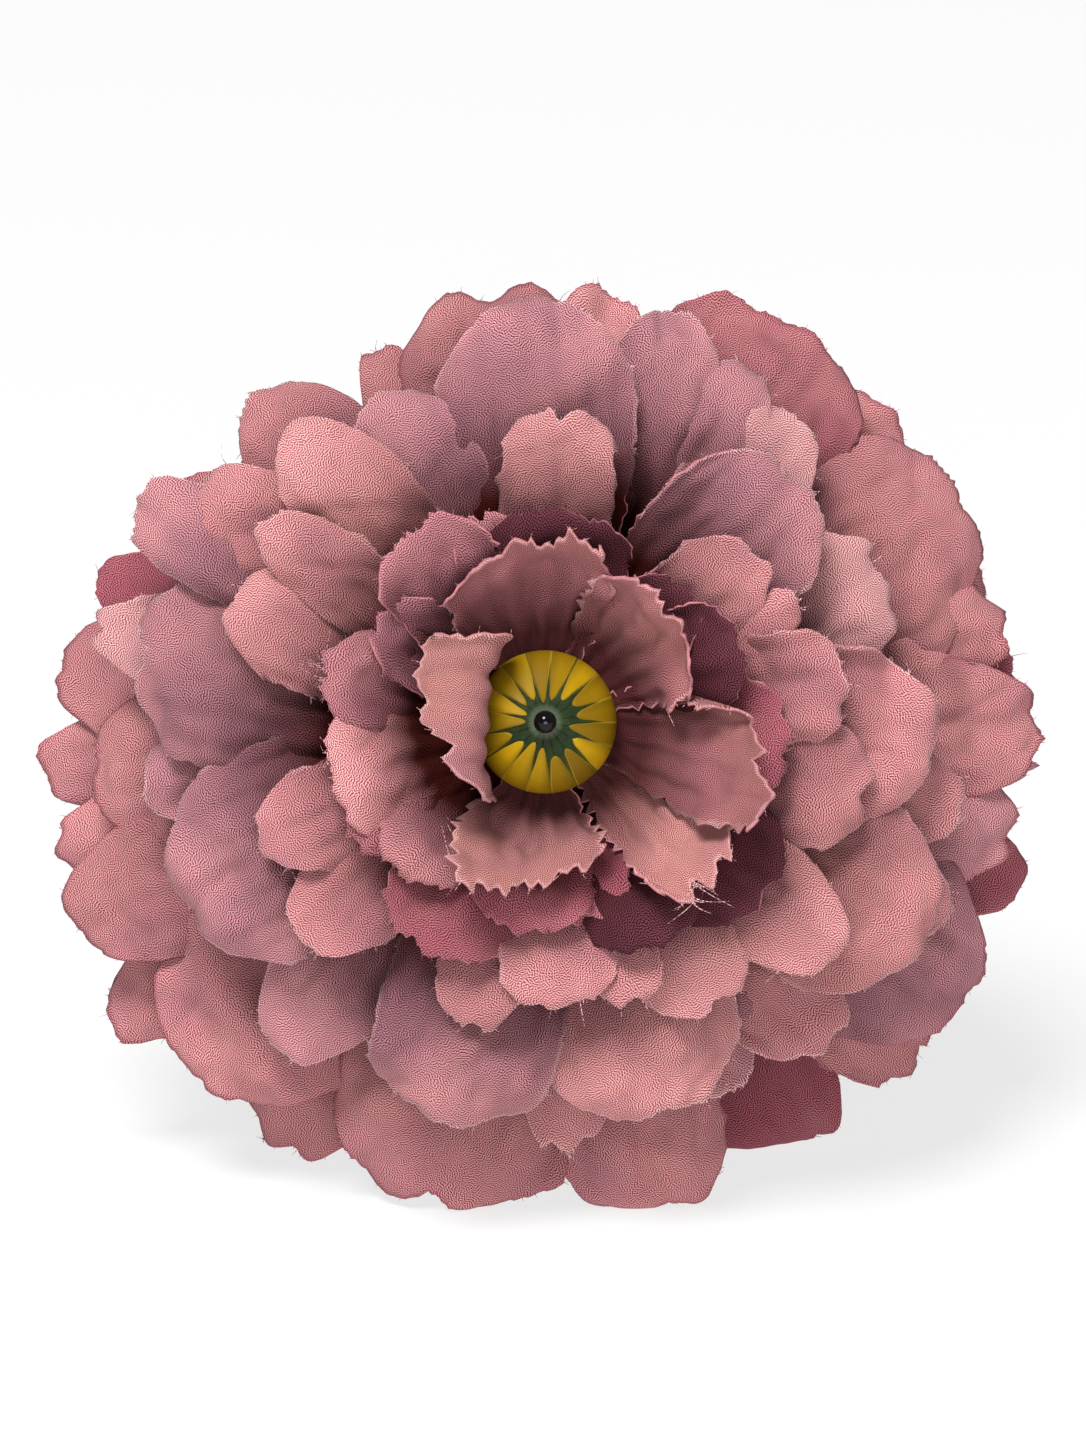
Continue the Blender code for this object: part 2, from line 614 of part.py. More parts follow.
def main():
    clear_scene()
    collection = bpy.data.collections.new("flower_head")
    bpy.context.scene.collection.children.link(collection)
    stand = bpy.data.objects.new("stand", None)
    stand.location = Vector((HEAD_SHIFT_X, HEAD_SHIFT_Y, HEAD_HEIGHT)) * MM
    stand.rotation_euler = (math.pi / 2 - FACE_UP, 0, 0)
    collection.objects.link(stand)
    peg(collection, stand)
    calyx(collection, stand)
    for name, layer in LAYERS.items():
        petal_layer(name, layer, collection, stand)
    centre_button(collection, stand)
    centre_pin(collection, stand)


main()
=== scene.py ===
# The dressed flower head. The petals are made again from the part's own tables, as thin cloth with
# folds, frayed edges and loose threads. The button and the pin are made again in finer detail. The
# calyx and the peg are the part's solids.

import json
import math
from typing import NamedTuple

import bpy
import numpy as np
from mathutils import Matrix, Vector


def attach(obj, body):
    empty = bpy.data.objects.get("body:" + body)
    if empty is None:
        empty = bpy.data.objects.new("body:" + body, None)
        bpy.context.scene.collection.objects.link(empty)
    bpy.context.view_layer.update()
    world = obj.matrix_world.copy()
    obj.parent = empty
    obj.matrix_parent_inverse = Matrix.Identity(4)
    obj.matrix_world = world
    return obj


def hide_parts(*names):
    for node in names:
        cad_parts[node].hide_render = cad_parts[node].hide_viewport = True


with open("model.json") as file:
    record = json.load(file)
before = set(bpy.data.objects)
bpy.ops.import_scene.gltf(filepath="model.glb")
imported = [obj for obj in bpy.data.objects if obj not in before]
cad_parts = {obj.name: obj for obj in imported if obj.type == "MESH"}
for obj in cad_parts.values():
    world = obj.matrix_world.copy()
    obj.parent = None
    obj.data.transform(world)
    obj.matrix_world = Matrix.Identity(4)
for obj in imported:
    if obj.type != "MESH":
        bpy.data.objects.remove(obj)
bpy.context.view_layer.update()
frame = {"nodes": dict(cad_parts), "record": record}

MM = 0.001

# The petals' shape, as in the part's source, in millimetres and degrees
ROOT_RADIUS = 6.0
ROOT_LIFT = 0.3  # the share of a petal's lift that its root has
ROOT_STAGGER = 0.15  # petals leave the ring at slightly different heights
STAGGER_TURN = 2.4  # radians between one petal's place in the stagger and the next one's
STUB_END = -14.0  # height of the stub's flat end
RIB_STEPS = 96  # twice as many as the solids have
RIB_PULL = 0.36  # how strongly the root's and the tip's tilt shape the midrib
CURL_FROM = 0.72  # the tip's curl starts this far along the petal
BROADEST = 0.70  # the petal is broadest this far along
TIP_TAPER = 0.08  # and loses this share of its width from there to the tip
ROOT_CUP = 26.0  # degrees that the gathered root's edges turn towards the face
CUP_FROM = 0.6  # a petal's own cup is full from this far along
NOTCH_WIDTH = 0.13  # in parts of the half width
FOLD_FROM = 0.25  # a folded edge opens out towards the root, from this far along
SECTION_STEPS = 12  # steps that add up a cross-section's slopes
WAVE_SHIFT = 0.37  # turns between one petal's edge wave and the next one's
REST_BEND = 0.5  # petals near the surface bend over this height
SEEDS_TO_A_LAYER = 100  # each petal has a seed of its own

# Noise: a sum of waves of different sizes
WAVE_SIZES = (0.6, 1.5)  # waves to a pitch
WAVE_HEIGHT = 1.6  # keeps most of the sum between -1 and 1

# The cloth, in millimetres
CLOTH = 0.28  # thickness
SOLE = 0.16  # a bent petal's middle surface stops this far above the surface
CELL = (0.50, 0.80)  # size of a sheet's faces across and along
HIDDEN_CELL = (0.65, 1.05)  # the same for the layers behind

# The ring at the middle of a layer is narrower than the solid's, so that the button hides it
RING_INNER = 3.3
RING_OUTER = 7.5
RING_RIPPLE = 0.12
RING_RIPPLES = 9
RING_POINTS = (8, 49)  # outwards and round
RING_DYE = (0.6, 0.1, 0.0)
RING_RIM = 3.0  # taken as far from any cut edge

# The cut edge: teeth, lobes and a ragged line. Its noise is read along one line for the tip and
# along two others, on either side of the midrib, for the petal's sides.
FRAY = 0.32
FRAY_PITCH = 0.95
LOBE_DEPTH = 0.30
LOBE_PITCH = 5.0
TEETH = {"cloth_ruffle": (1.8, 1.1), "cloth_collar": (1.3, 0.45)}  # pitch and depth
NO_TEETH = (1.0, 0.0)
TEETH_SPREAD = 0.8  # how unequal the teeth are
WANDER = 0.8  # how far the teeth and pleats stray from an even pitch
WANDER_PITCH = 5.0  # the stray itself changes this slowly
TIP_LINE = 3.0
SIDE_LINE = 20.0
SIDE_POWER = 8  # the sides' cut moves only the outermost points

# Folds: depths, pitches and widths in millimetres
FREE_FROM = 0.5  # the cloth moves freely from this share of its length
PLEAT_DEPTH = 0.45
PLEAT_PITCH = 3.4
PLEAT_FROM = 0.2  # the pleats grow over this share of the length
PLEAT_FADE = (1.2, 1.1)  # and fade with it: the first number, less the second times the share
CRUMPLE_DEPTH = 1.05
CRUMPLE_PITCH = 11.0
PUCKER_DEPTH = 0.22
PUCKER_PITCH = 4.6
CREASE_DEPTH = 0.32
CREASE_PITCH = 15.0
CREASE_WIDTH = 0.16  # in parts of the noise that a crease follows
VEIN_DEPTH = 0.35
VEIN_WIDTH = 1.1
VEIN_FADE = 2.2  # how steeply the vein runs out towards the tip
FLUTE_DEPTH = 0.65
FLUTES = 2.4  # along a petal's side

# Threads that leave the cut edge
LINT = 45  # short ends to a petal
TIP_LINT = 0.6  # the share of them at the tip, the others being at the sides
TIP_SPAN = 0.98  # how far across the tip they go
SIDE_FROM = 0.4  # and how far from the root those at the sides begin
LINT_RADIUS = 0.06
LINT_LENGTHS = (0.25, 0.45, 0.8, 1.5)
LINT_SHARES = (0.58, 0.36, 0.05, 0.01)
LINT_VARY = (0.7, 1.3)  # times those lengths
LINT_POINTS = 3  # along a short end
THREAD_TAPER = 0.7  # a thread loses this share of its thickness
THREAD_STRAY = 0.5  # how much a thread's direction and its bend vary
THREAD_HOLD = 0.1  # how far inside the cloth it starts
THREAD_SIDES = 3
TINY = 1e-9  # keeps a length from being nothing
INNER_POINT = (0.98, 0.95)  # shares of s and t, for the point that a thread leads away from
SLANT = (0.3, 0.5, 0.8)  # a direction that no thread follows
TATTERED = {  # the petals with a bunch of loose threads, and where it is across the tip
    ("cloth_collar", 167): 0.0,
    ("cloth_ruffle", 317): -0.4,
}
LOOSE_THREADS = 16
LOOSE_LENGTH = 2.0
LOOSE_VARY = (0.4, 1.2)
LOOSE_SPREAD = 0.25  # on either side of that place
LOOSE_POINTS = 7  # along a loose thread

# The dye and the roots' painted shade, in shares of a petal's length and of full colour
ROOT_SPAN = 0.50  # the roots' dark dye and painted shade fade over this share of the length
ROOT_FADE = 0.95  # and ends here
RUFFLE_FADE = 0.73  # or here in the ruffle, which is seen nearly down to its roots
RUFFLE_DYE_AND_SHADE = 0.88  # and is weaker there
DYE_POWER = 1.3  # how it falls off towards its end
ROOT_MAUVE = 0.6  # what a root has beside its petal's tone
ROOT_CRIMSON = 0.12
TIP_LOSS = 0.35  # the share of its mauve that a tip lacks

# The crepe's grain, in millimetres
CREPE_PITCH = 0.26
CREPE_PATCH = 0.52  # size of the patches in which the ridges run together
CREPE_ORDER = 0.30  # how parallel they are, from 0 to 1
PORE_LEVELS = (0.40, 0.60)  # values of the grain at a pore's floor and at a ridge's top
SWIRL_GRAIN = 0.13  # their direction changes this often to a millimetre
SWIRL_TURN = 7.0  # over a range of this many radians
BLOTCH_GRAIN = 0.09  # the uneven dye changes this often
BLOTCH_SHARES = (1.5, 0.35, -0.5)  # of mauve, crimson and pale
LUCK_SHIFT = (83.0, 0.0, 97.0)  # moves each petal to its own place in the grain
LUCK_SHADE = (0.86, 1.10)  # the darkest and the lightest petal

# Linear colours
PINK = (0.51, 0.165, 0.171, 1)
FLESH = (0.38, 0.124, 0.118, 1)
MAUVE = (0.27, 0.098, 0.125, 1)
CRIMSON = (0.27, 0.055, 0.075, 1)
PLUM = (0.085, 0.019, 0.027, 1)
PALE = (0.53, 0.225, 0.235, 1)
# dark red-brown of the petals' roots: partly dye, partly painted shade for the gaps between the layers
ROOT_DYE_AND_SHADE = (0.030, 0.003, 0.002, 1)
PORE_PAINTED_SHADE = (0.29, 0.11, 0.10, 1)  # painted shade in the crepe's pores; this and the next multiply the dye
# painted sheen on the crepe's ridges, lighter and whiter than the dye
RIDGE_PAINTED_SHEEN = (1.50, 2.18, 2.14, 1)
CUT_COLOUR = (0.42, 0.15, 0.17, 1)
RAY_YELLOWS = ((0.15, 0.082, 0.002, 1), (0.40, 0.235, 0.003, 1))
RAY_BLOTCH = (0.15, 0.085, 0.002, 1)
RAY_OUTLINE = (0.37, 0.25, 0.02, 1)
# painted shadow on one side of each ray, where its neighbour overlaps it
RAY_PAINTED_SHADOW = (0.10, 0.058, 0.002, 1)
BUTTON_GREENS = ((0.008, 0.016, 0.005, 1), (0.021, 0.037, 0.010, 1))
BUTTON_HALO = (0.10, 0.13, 0.08, 1)
BUTTON_OLIVE = (0.08, 0.06, 0.005, 1)
BEAD_BLACKS = ((0.002, 0.002, 0.003, 1), (0.005, 0.005, 0.006, 1))
PLASTIC_GREENS = ((0.05, 0.10, 0.03, 1), (0.12, 0.21, 0.07, 1))
FLOOR_GREY = (0.22, 0.22, 0.22, 1)
WHITE = (1, 1, 1, 1)

# The centre, in millimetres
BUTTON_RADIUS = 7.8
BUTTON_BASE = 35.0
BUTTON_RIM = 1.6
BUTTON_DOME = 4.6
BUTTON_BEVEL = 0.2
BUTTON_RIBS = 17
RIB_COLUMNS = 24
DOME_RINGS = 60
RAY_SEED = 5
RAY_START = (2.0, 3.9)  # radius at which a ray begins
RAY_WIDTH = (0.90, 1.12)  # at the rim, in parts of its share of the circle
RAY_NARROW = 0.62  # the part of that width with which it begins
RAY_BOW = 0.06
RAY_ROUND = 0.7  # length of its rounded start
RAY_SPREAD = 3.0  # length over which it widens
RAY_HEIGHT = 0.16
RAY_TILT = 0.12  # one side of a ray is this much above its middle
GROOVE_DEPTH = 0.14
RAY_STEEP = 6  # how steeply these three rise from a ray's outline
TILT_STEEP = 4
GROOVE_STEEP = 8
CENTRE_DEPTH = 0.1  # the green is this much below the dome
CENTRE_FADE = 1.5  # the relief grows over this length from the hole
PIN_RADIUS = 0.5
PIN_HOLE = 0.8
PIN_HEAD = 1.25
PIN_SEAT = 0.75  # the bead's centre is above the gap by this share of its radius
PIN_GAP = 0.3  # between the dome and the bead
PIN_DEPTH = 6.0  # how far the shank reaches below the button's base
PIN_POINT = 0.3  # length of the shank's pointed end
PIN_TIP = 0.002  # the axis, where a closed ring of points may not shrink to nothing
PIN_RINGS = 24
PIN_COLUMNS = 48

# The photo's view: the camera looks straight down the flower's axis
PHOTO_SIZE = (1086, 1448)
PHOTO_CENTRE = (545, 722)  # pixel of the flower's centre
PHOTO_SCALE = 9.0  # pixels to a millimetre at the petals' middle height
CAMERA_DISTANCE = 800.0
MIDDLE_HEIGHT = 20.0
SENSOR = 36.0

# The studio, in metres and watts
LAMP_AIM = (0, 0, 0.05)
SKY_STRENGTH = 0.12
FLOOR_REACH = 6.0
FLOOR_GLOW = 0.757


class Lamp(NamedTuple):
    """A round soft lamp: where it stands, its diameter and its power."""

    place: tuple
    size: float
    watts: float


LAMPS = {
    "key": Lamp((-0.60, -1.48, 2.63), 1.25, 124.0),
    "fill": Lamp((0.10, -1.25, 0.20), 0.80, 10.5),
}


class Cloth(NamedTuple):
    """One kind of cloth: its colour, its tinted edge and its grain."""

    base: tuple
    edge: tuple
    edge_share: float
    edge_width: float = 0.55  # millimetres
    pitch: float = CREPE_PITCH
    grain: float = 1.0  # how strongly the ridges' painted sheen and the pores' painted shade show


CLOTHS = {
    "cloth_ruffle": Cloth(FLESH, (0.70, 0.34, 0.33, 1), 0.5, 0.5, 0.22, 0.85),
    "cloth_collar": Cloth(PINK, (0.40, 0.13, 0.16, 1), 0.35),
    "cloth_small": Cloth(PINK, (0.70, 0.29, 0.30, 1), 0.55),
    "cloth_inner": Cloth(PINK, (0.72, 0.34, 0.35, 1), 0.55),
    "cloth_outer": Cloth(PINK, (0.38, 0.085, 0.11, 1), 0.65, 0.9),
}


class Layer(NamedTuple):
    """One die-cut layer: where its midribs start, and the height and tilt of their tips."""

    root_height: float
    root_tilt: float
    tip_radius: float
    tip_height: float
    tip_slope: float
    tip_tilt: float
    claw: float  # root width over full width
    slot: str
    petals: tuple


class Fold(NamedTuple):
    """An edge that is folded over."""

    side: int  # 1 for the edge on the side of growing azimuth, -1 for the other
    angle: float  # degrees, positive towards the viewer
    start: float  # how far across from the midrib it begins, in parts of the half width


class Petal(NamedTuple):
    """One petal: azimuth on the face from +X, then its sizes in millimetres and bends in degrees."""

    azimuth: float
    reach: float
    width: float
    lift: float
    cup: float  # positive turns the edges towards the face
    lean: float  # the root's azimuth less the tip's
    curl: float  # positive turns the tip towards the face
    edge: str
    tone: str
    fold: Fold = Fold(1, 0, 0.5)


class Edge(NamedTuple):
    """The outline of a tip, in parts of the petal's length."""

    drop: float  # how much shorter the sides are than the middle
    power: float
    notch: float
    wave: float
    waves: float
    skew: float  # how much longer the side of growing azimuth is


EDGES = {
    "round": Edge(0.22, 3.2, 0.00, 0.006, 2.0, 0.0),
    "notched": Edge(0.13, 5.0, 0.06, 0.006, 2.0, 0.0),
    "square": Edge(0.12, 4.0, 0.015, 0.014, 2.5, 0.0),
    "waved": Edge(0.16, 3.2, 0.00, 0.016, 3.0, 0.0),
    "toothed": Edge(0.14, 2.6, 0.00, 0.050, 3.5, 0.0),
    "toothed_left": Edge(0.14, 2.6, 0.00, 0.040, 3.5, -0.20),
    "toothed_right": Edge(0.14, 2.6, 0.00, 0.040, 3.5, 0.15),
    "pointed": Edge(0.55, 1.3, 0.00, 0.010, 2.0, 0.0),
}

# Dyes by tone: shares of mauve, crimson and pale. More than 1 keeps a dye strong up to the tip.
TONES = {
    "salmon": (0.00, 0.00, 0.10),
    "pink": (0.25, 0.10, 0.00),
    "pale": (0.20, 0.00, 0.54),
    "mauve": (0.80, 0.00, 0.00),
    "crimson": (0.15, 0.90, 0.00),
    "purple": (1.40, 1.10, 0.00),
    "rose": (0.20, 0.55, 0.00),
    "flesh": (0.00, 0.00, 0.00),
    "brick": (0.10, 0.30, 0.00),
    "dusk": (0.70, 0.22, 0.00),
}

# The petal that hides the button's edge folds back over itself, on a midrib of its own
FOLDED_AZIMUTH = 176
FOLDED_RIB = ((6.0, 33.0), (17.0, 32.8), (-3.0, 45.0), (13.0, 47.0))

RUFFLE = (
    Petal(97, 19.7, 20.0, -0.6, 38, 0, 12, "toothed_left", "brick"),
    Petal(41, 18.4, 17.0, 0.8, 34, 0, 15, "toothed_right", "brick"),
    Petal(350, 24.0, 16.5, 1.4, 14, 4, 5, "toothed_left", "brick", Fold(1, 170, 0.34)),
    Petal(317, 24.2, 13.0, -1.2, -10, 4, -20, "toothed", "flesh", Fold(-1, 100, 0.4)),
    Petal(262, 17.3, 16.5, -1.5, 16, 0, -20, "toothed_left", "flesh"),
    Petal(FOLDED_AZIMUTH, 13.0, 18.5, 1.0, 20, 0, 0, "toothed_left", "flesh"),
)

COLLAR = (
    Petal(86, 23.0, 16.0, 0.6, 10, 0, 0, "waved", "purple"),
    Petal(107, 23.5, 9.0, -0.6, 10, 0, 10, "waved", "dusk"),
    Petal(125, 25.5, 14.0, 1.4, 22, 0, 15, "waved", "dusk"),
    Petal(148, 21.0, 10.0, 0.0, 22, 0, 10, "waved", "dusk"),
    Petal(167, 24.5, 11.0, 1.2, -25, 0, -25, "waved", "dusk"),
    Petal(196, 24.0, 14.0, 1.4, -16, 0, -15, "square", "salmon"),
    Petal(211, 24.5, 8.0, -1.0, 0, 0, 0, "waved", "crimson"),
    Petal(225, 22.5, 12.0, 0.8, -12, 0, -15, "waved", "pink"),
    Petal(243, 28.0, 15.0, -0.8, -8, 0, -5, "waved", "crimson"),
    Petal(266, 22.8, 13.0, 0.8, -5, 0, -5, "waved", "crimson"),
    Petal(284, 22.0, 10.0, -1.0, 0, 0, 0, "waved", "crimson"),
    Petal(299, 27.0, 14.0, 0.0, -8, 0, -5, "waved", "purple"),
    Petal(322, 30.5, 15.0, -1.2, -8, 0, -5, "waved", "purple"),
    Petal(354, 26.5, 14.0, -1.5, 0, 0, 0, "waved", "crimson"),
    Petal(44, 21.0, 10.0, -0.6, 15, 0, 5, "waved", "purple"),
    Petal(23, 23.0, 12.0, 0.3, 15, 0, 5, "waved", "purple"),
)

SMALL = (
    Petal(87, 34.0, 13.0, 0.0, -26, 0, -14, "notched", "salmon"),
    Petal(38, 29.5, 12.5, 1.0, -30, 0, -20, "round", "pink"),
    Petal(25, 30.5, 8.0, -0.4, -15, 0, -10, "round", "pink"),
    Petal(8, 33.0, 13.0, 1.0, -25, 0, -10, "square", "pink", Fold(1, 60, 0.4)),
    Petal(347, 36.5, 14.5, -0.4, -26, 0, -18, "square", "pink"),
    Petal(321, 41.0, 13.5, 0.6, -24, 0, -16, "round", "salmon"),
    Petal(301, 36.5, 13.5, -0.4, -18, 0, -10, "square", "salmon"),
    Petal(288, 32.0, 9.0, 0.6, -10, 0, -15, "square", "pink"),
    Petal(273, 31.0, 13.0, 1.6, -14, 0, -15, "square", "pink"),
    Petal(256, 34.5, 10.5, -0.4, -14, 0, -10, "waved", "pink"),
    Petal(222, 36.0, 13.0, -0.2, -24, 0, -20, "round", "pink"),
    Petal(203, 34.0, 12.0, 1.0, -28, 0, -20, "round", "pink"),
    Petal(159, 37.0, 14.5, -0.2, -36, 0, -26, "round", "salmon"),
    Petal(145, 37.5, 10.0, 1.4, -16, 0, -5, "round", "salmon", Fold(1, -50, 0.3)),
    Petal(131, 42.5, 14.0, 0.5, -30, 0, -20, "round", "salmon"),
)

INNER = (
    Petal(91.5, 47.0, 22.5, 0.5, -24, 0, -12, "round", "mauve"),
    Petal(44, 38.5, 19.5, 0.8, -16, 0, -4, "round", "mauve", Fold(1, 70, 0.35)),
    Petal(357.5, 43.5, 20.0, 0.6, -26, 0, -14, "round", "pink", Fold(1, 60, 0.5)),
    Petal(330, 49.0, 23.5, 0.0, -24, 0, -14, "round", "flesh"),
    Petal(287, 45.5, 23.0, 0.0, -30, 0, -18, "square", "salmon"),
    Petal(256, 45.8, 21.5, 1.2, -28, 0, -14, "square", "mauve"),
    Petal(206, 45.5, 25.0, 0.6, -32, 0, -20, "round", "mauve"),
    Petal(171, 46.0, 22.5, -0.4, -32, 0, -18, "square", "mauve"),
    Petal(152, 51.5, 11.5, 0.6, -14, 0, -4, "square", "mauve", Fold(1, -50, 0.4)),
    Petal(145, 46.8, 13.0, 1.6, -34, 0, -20, "round", "pink"),
    Petal(116, 40.5, 14.0, -0.4, -18, 0, -8, "round", "mauve"),
)

MIDDLE = (
    Petal(71, 48.5, 14.5, 0.8, -26, 0, -10, "round", "mauve"),
    Petal(60, 46.0, 13.0, 0.0, -20, 0, -8, "round", "mauve"),
    Petal(50, 44.0, 14.0, -0.4, -12, 0, 0, "round", "pale"),
    Petal(23, 41.0, 17.0, 0.8, -16, 0, -4, "waved", "pale"),
    Petal(348, 47.0, 14.0, 0.4, -16, 0, -4, "round", "pink"),
    Petal(334, 50.0, 12.0, -0.6, -16, 0, -4, "round", "pink"),
    Petal(311, 47.5, 15.0, 0.4, -16, 0, -4, "waved", "pink"),
    Petal(296, 46.0, 15.0, -0.4, -12, 0, 0, "round", "mauve"),
    Petal(273, 47.5, 11.0, 0.4, -12, 0, 0, "waved", "pink"),
    Petal(231, 47.5, 15.0, 0.4, -22, 0, -10, "round", "mauve"),
    Petal(189, 45.0, 14.0, 0.0, -14, 0, 0, "round", "mauve"),
    Petal(131, 49.0, 16.5, 0.6, -28, 0, -16, "round", "pink"),
    Petal(168, 51.0, 11.0, -0.4, -12, 0, -4, "waved", "pale"),
)

OUTER = (
    Petal(58, 53.5, 26.5, 0.6, -24, 0, -14, "square", "rose"),
    Petal(27.5, 54.2, 29.0, 1.2, -30, 0, -18, "round", "pink"),
    Petal(12, 53.0, 15.0, -0.6, -16, 0, -6, "waved", "pink"),
    Petal(359, 56.0, 16.0, 0.8, -20, 0, -8, "waved", "pink"),
    Petal(346, 54.5, 16.0, -0.4, -18, 0, -8, "waved", "mauve"),
    Petal(327, 57.8, 25.0, 0.6, -26, 0, -14, "round", "mauve"),
    Petal(283, 57.4, 20.0, 0.0, -22, 0, -8, "square", "pink"),
    Petal(257, 56.1, 28.0, 0.8, -24, 0, -12, "square", "pink"),
    Petal(224.5, 56.8, 28.0, 0.4, -28, 0, -16, "round", "pink"),
    Petal(203, 58.0, 18.0, -0.4, -18, 0, -6, "round", "pink"),
    Petal(187, 52.0, 20.0, 0.6, -24, 0, -12, "round", "pink"),
    Petal(162, 53.0, 12.0, -0.6, -16, 0, -6, "round", "crimson"),
    Petal(97, 49.2, 23.0, 0.4, -20, 0, -10, "square", "pink"),
    Petal(82, 49.5, 13.0, -0.4, -16, 0, -6, "round", "salmon"),
    Petal(134, 46.0, 18.0, 0.0, -14, 0, -4, "round", "pink"),
)

BACK = (
    Petal(4, 54.0, 14.0, 0.8, -14, 0, -4, "waved", "crimson"),
    Petal(355, 57.2, 12.0, -0.8, -10, 0, 0, "pointed", "pale"),
    Petal(341, 57.3, 14.0, 0.0, -14, 0, -4, "round", "crimson"),
    Petal(317, 57.5, 15.0, 0.8, -14, 0, -4, "waved", "pink"),
    Petal(274, 51.0, 18.0, 0.0, -12, 0, -4, "waved", "crimson"),
    Petal(254, 56.6, 14.0, 0.8, -14, 0, -4, "waved", "crimson"),
    Petal(238, 57.0, 17.0, -0.8, -14, 0, -4, "waved", "pink"),
    Petal(215, 60.0, 14.0, 0.4, -14, 0, -4, "round", "pink"),
    Petal(195, 57.0, 12.0, 0.8, -14, 0, -4, "waved", "pink"),
    Petal(185, 58.0, 13.0, -0.8, -14, 0, -4, "round", "pink"),
    Petal(174, 55.5, 18.0, 0.6, -20, 0, -8, "round", "pink"),
    Petal(150, 50.0, 18.0, -0.6, -14, 0, -4, "round", "pink"),
    Petal(114, 46.5, 10.0, 0.4, -16, 0, -4, "round", "pink"),
    Petal(74, 47.5, 13.0, 0.0, -12, 0, -4, "round", "salmon"),
    Petal(42, 53.0, 18.0, 0.8, -16, 0, -4, "round", "pink"),
    Petal(20, 53.0, 16.0, -0.8, -16, 0, -4, "round", "pink"),
)

LAST = (
    Petal(300, 58.2, 19.0, -1.0, -16, 0, -2, "square", "crimson"),
    Petal(243, 58.2, 18.0, -1.0, -16, 0, -2, "square", "crimson"),
    Petal(272, 46.0, 18.0, 0.6, -14, 0, -4, "round", "pink"),
    Petal(334, 50.0, 19.0, 0.6, -14, 0, -4, "round", "pink"),
    Petal(6, 49.0, 19.0, -0.6, -14, 0, -4, "round", "pink"),
    Petal(40, 47.0, 19.0, 0.6, -14, 0, -4, "round", "pink"),
    Petal(76, 44.0, 19.0, -0.6, -14, 0, -4, "round", "pink"),
    Petal(110, 43.0, 19.0, 0.6, -14, 0, -4, "round", "pink"),
    Petal(144, 45.0, 19.0, -0.6, -14, 0, -4, "round", "pink"),
    Petal(178, 49.0, 19.0, 0.6, -14, 0, -4, "round", "pink"),
    Petal(211, 52.0, 19.0, -0.4, -14, 0, -4, "round", "pink"),
)

LAYERS = {
    "petals_ruffle": Layer(33.0, 0, 20, 45.0, 0.00, 50, 0.42, "cloth_ruffle", RUFFLE),
    "petals_collar": Layer(29.6, 8, 25, 38.6, 0.00, 2, 0.30, "cloth_collar", COLLAR),
    "petals_small": Layer(26.2, 14, 35, 34.5, -0.10, -6, 0.28, "cloth_small", SMALL),
    "petals_inner": Layer(22.4, 20, 46, 26.5, -0.30, -26, 0.20, "cloth_inner", INNER),
    "petals_middle": Layer(18.2, 18, 46, 20.0, -0.35, -28, 0.18, "cloth_inner", MIDDLE),
    "petals_outer": Layer(14.0, 12, 54, 10.5, -0.30, -28, 0.15, "cloth_outer", OUTER),
    "petals_back": Layer(9.4, 8, 54, 2.5, -0.30, -28, 0.15, "cloth_outer", BACK),
    "petals_last": Layer(4.8, 2, 50, -6.5, -0.30, -26, 0.15, "cloth_outer", LAST),
}


def flower_frame():
    """The flower's own frame: Z along its axis, Y up its face, read from the stub's mount."""
    stub = next(m for m in frame["record"]["mounts"] if m["name"] == "stub_end")
    axis = -Vector(stub["axis"]).normalized()
    origin = Vector(stub["pos_m"]) - axis * STUB_END * MM
    across = Vector((1, 0, 0))
    up = axis.cross(across)
    place = Matrix((across, up, axis)).transposed().to_4x4()
    place.translation = origin
    return place


PLACE = flower_frame()
UP = np.array(PLACE.to_3x3().inverted() @ Vector((0, 0, 1)))  # the world's up in the flower's frame
HEAD_HEIGHT = PLACE.translation.z / MM


def to_world(points):
    """Points of the flower's frame in millimetres, as world points in metres."""
    place = np.array(PLACE)
    return points * MM @ place[:3, :3].T + place[:3, 3]


def show(name, data):
    """A new object of the scene: a mesh, a light or a camera."""
    piece = bpy.data.objects.new(name, data)
    bpy.context.scene.collection.objects.link(piece)
    return piece


class Waves:
    """Smooth noise: a sum of seeded sine waves, over one or two coordinates in millimetres."""

    def __init__(self, rng, pitch, count=7):
        heading = rng.uniform(0, 2 * math.pi, count)
        size = 2 * math.pi / pitch * rng.uniform(*WAVE_SIZES, count)
        self.kx = size * np.cos(heading)
        self.ky = size * np.sin(heading)
        self.phase = rng.uniform(0, 2 * math.pi, count)
        self.share = WAVE_HEIGHT / count

    def __call__(self, x, y=0.0):
        x = np.asarray(x)[..., None]
        y = np.asarray(y)[..., None]
        return self.share * np.sin(x * self.kx + y * self.ky + self.phase).sum(-1)


def zigzag(x):
    """A triangle wave of period 1 between -1 and 1."""
    return 4 * np.abs(x - np.floor(x + 0.5)) - 1


def cubic(points, q):
    """A cubic Bezier curve through the plane, at the values q."""
    start, pull, push, end = (np.array(p) for p in points)
    q = q[..., None]
    rest = 1 - q
    return rest**3 * start + 3 * rest**2 * q * pull + 3 * rest * q**2 * push + q**3 * end


def direction(degrees):
    angle = math.radians(degrees)
    return np.array((math.cos(angle), math.sin(angle)))


def rib_controls(layer, petal):
    """The midrib's four control points, as radius from the axis and height."""
    if layer.petals is RUFFLE and petal.azimuth == FOLDED_AZIMUTH:
        return FOLDED_RIB
    start = np.array((ROOT_RADIUS, layer.root_height + ROOT_LIFT * petal.lift))
    height = layer.tip_height + layer.tip_slope * (petal.reach - layer.tip_radius) + petal.lift
    end = np.array((petal.reach, height))
    pull = RIB_PULL * np.linalg.norm(end - start)
    return start, start + pull * direction(layer.root_tilt), end - pull * direction(layer.tip_tilt), end


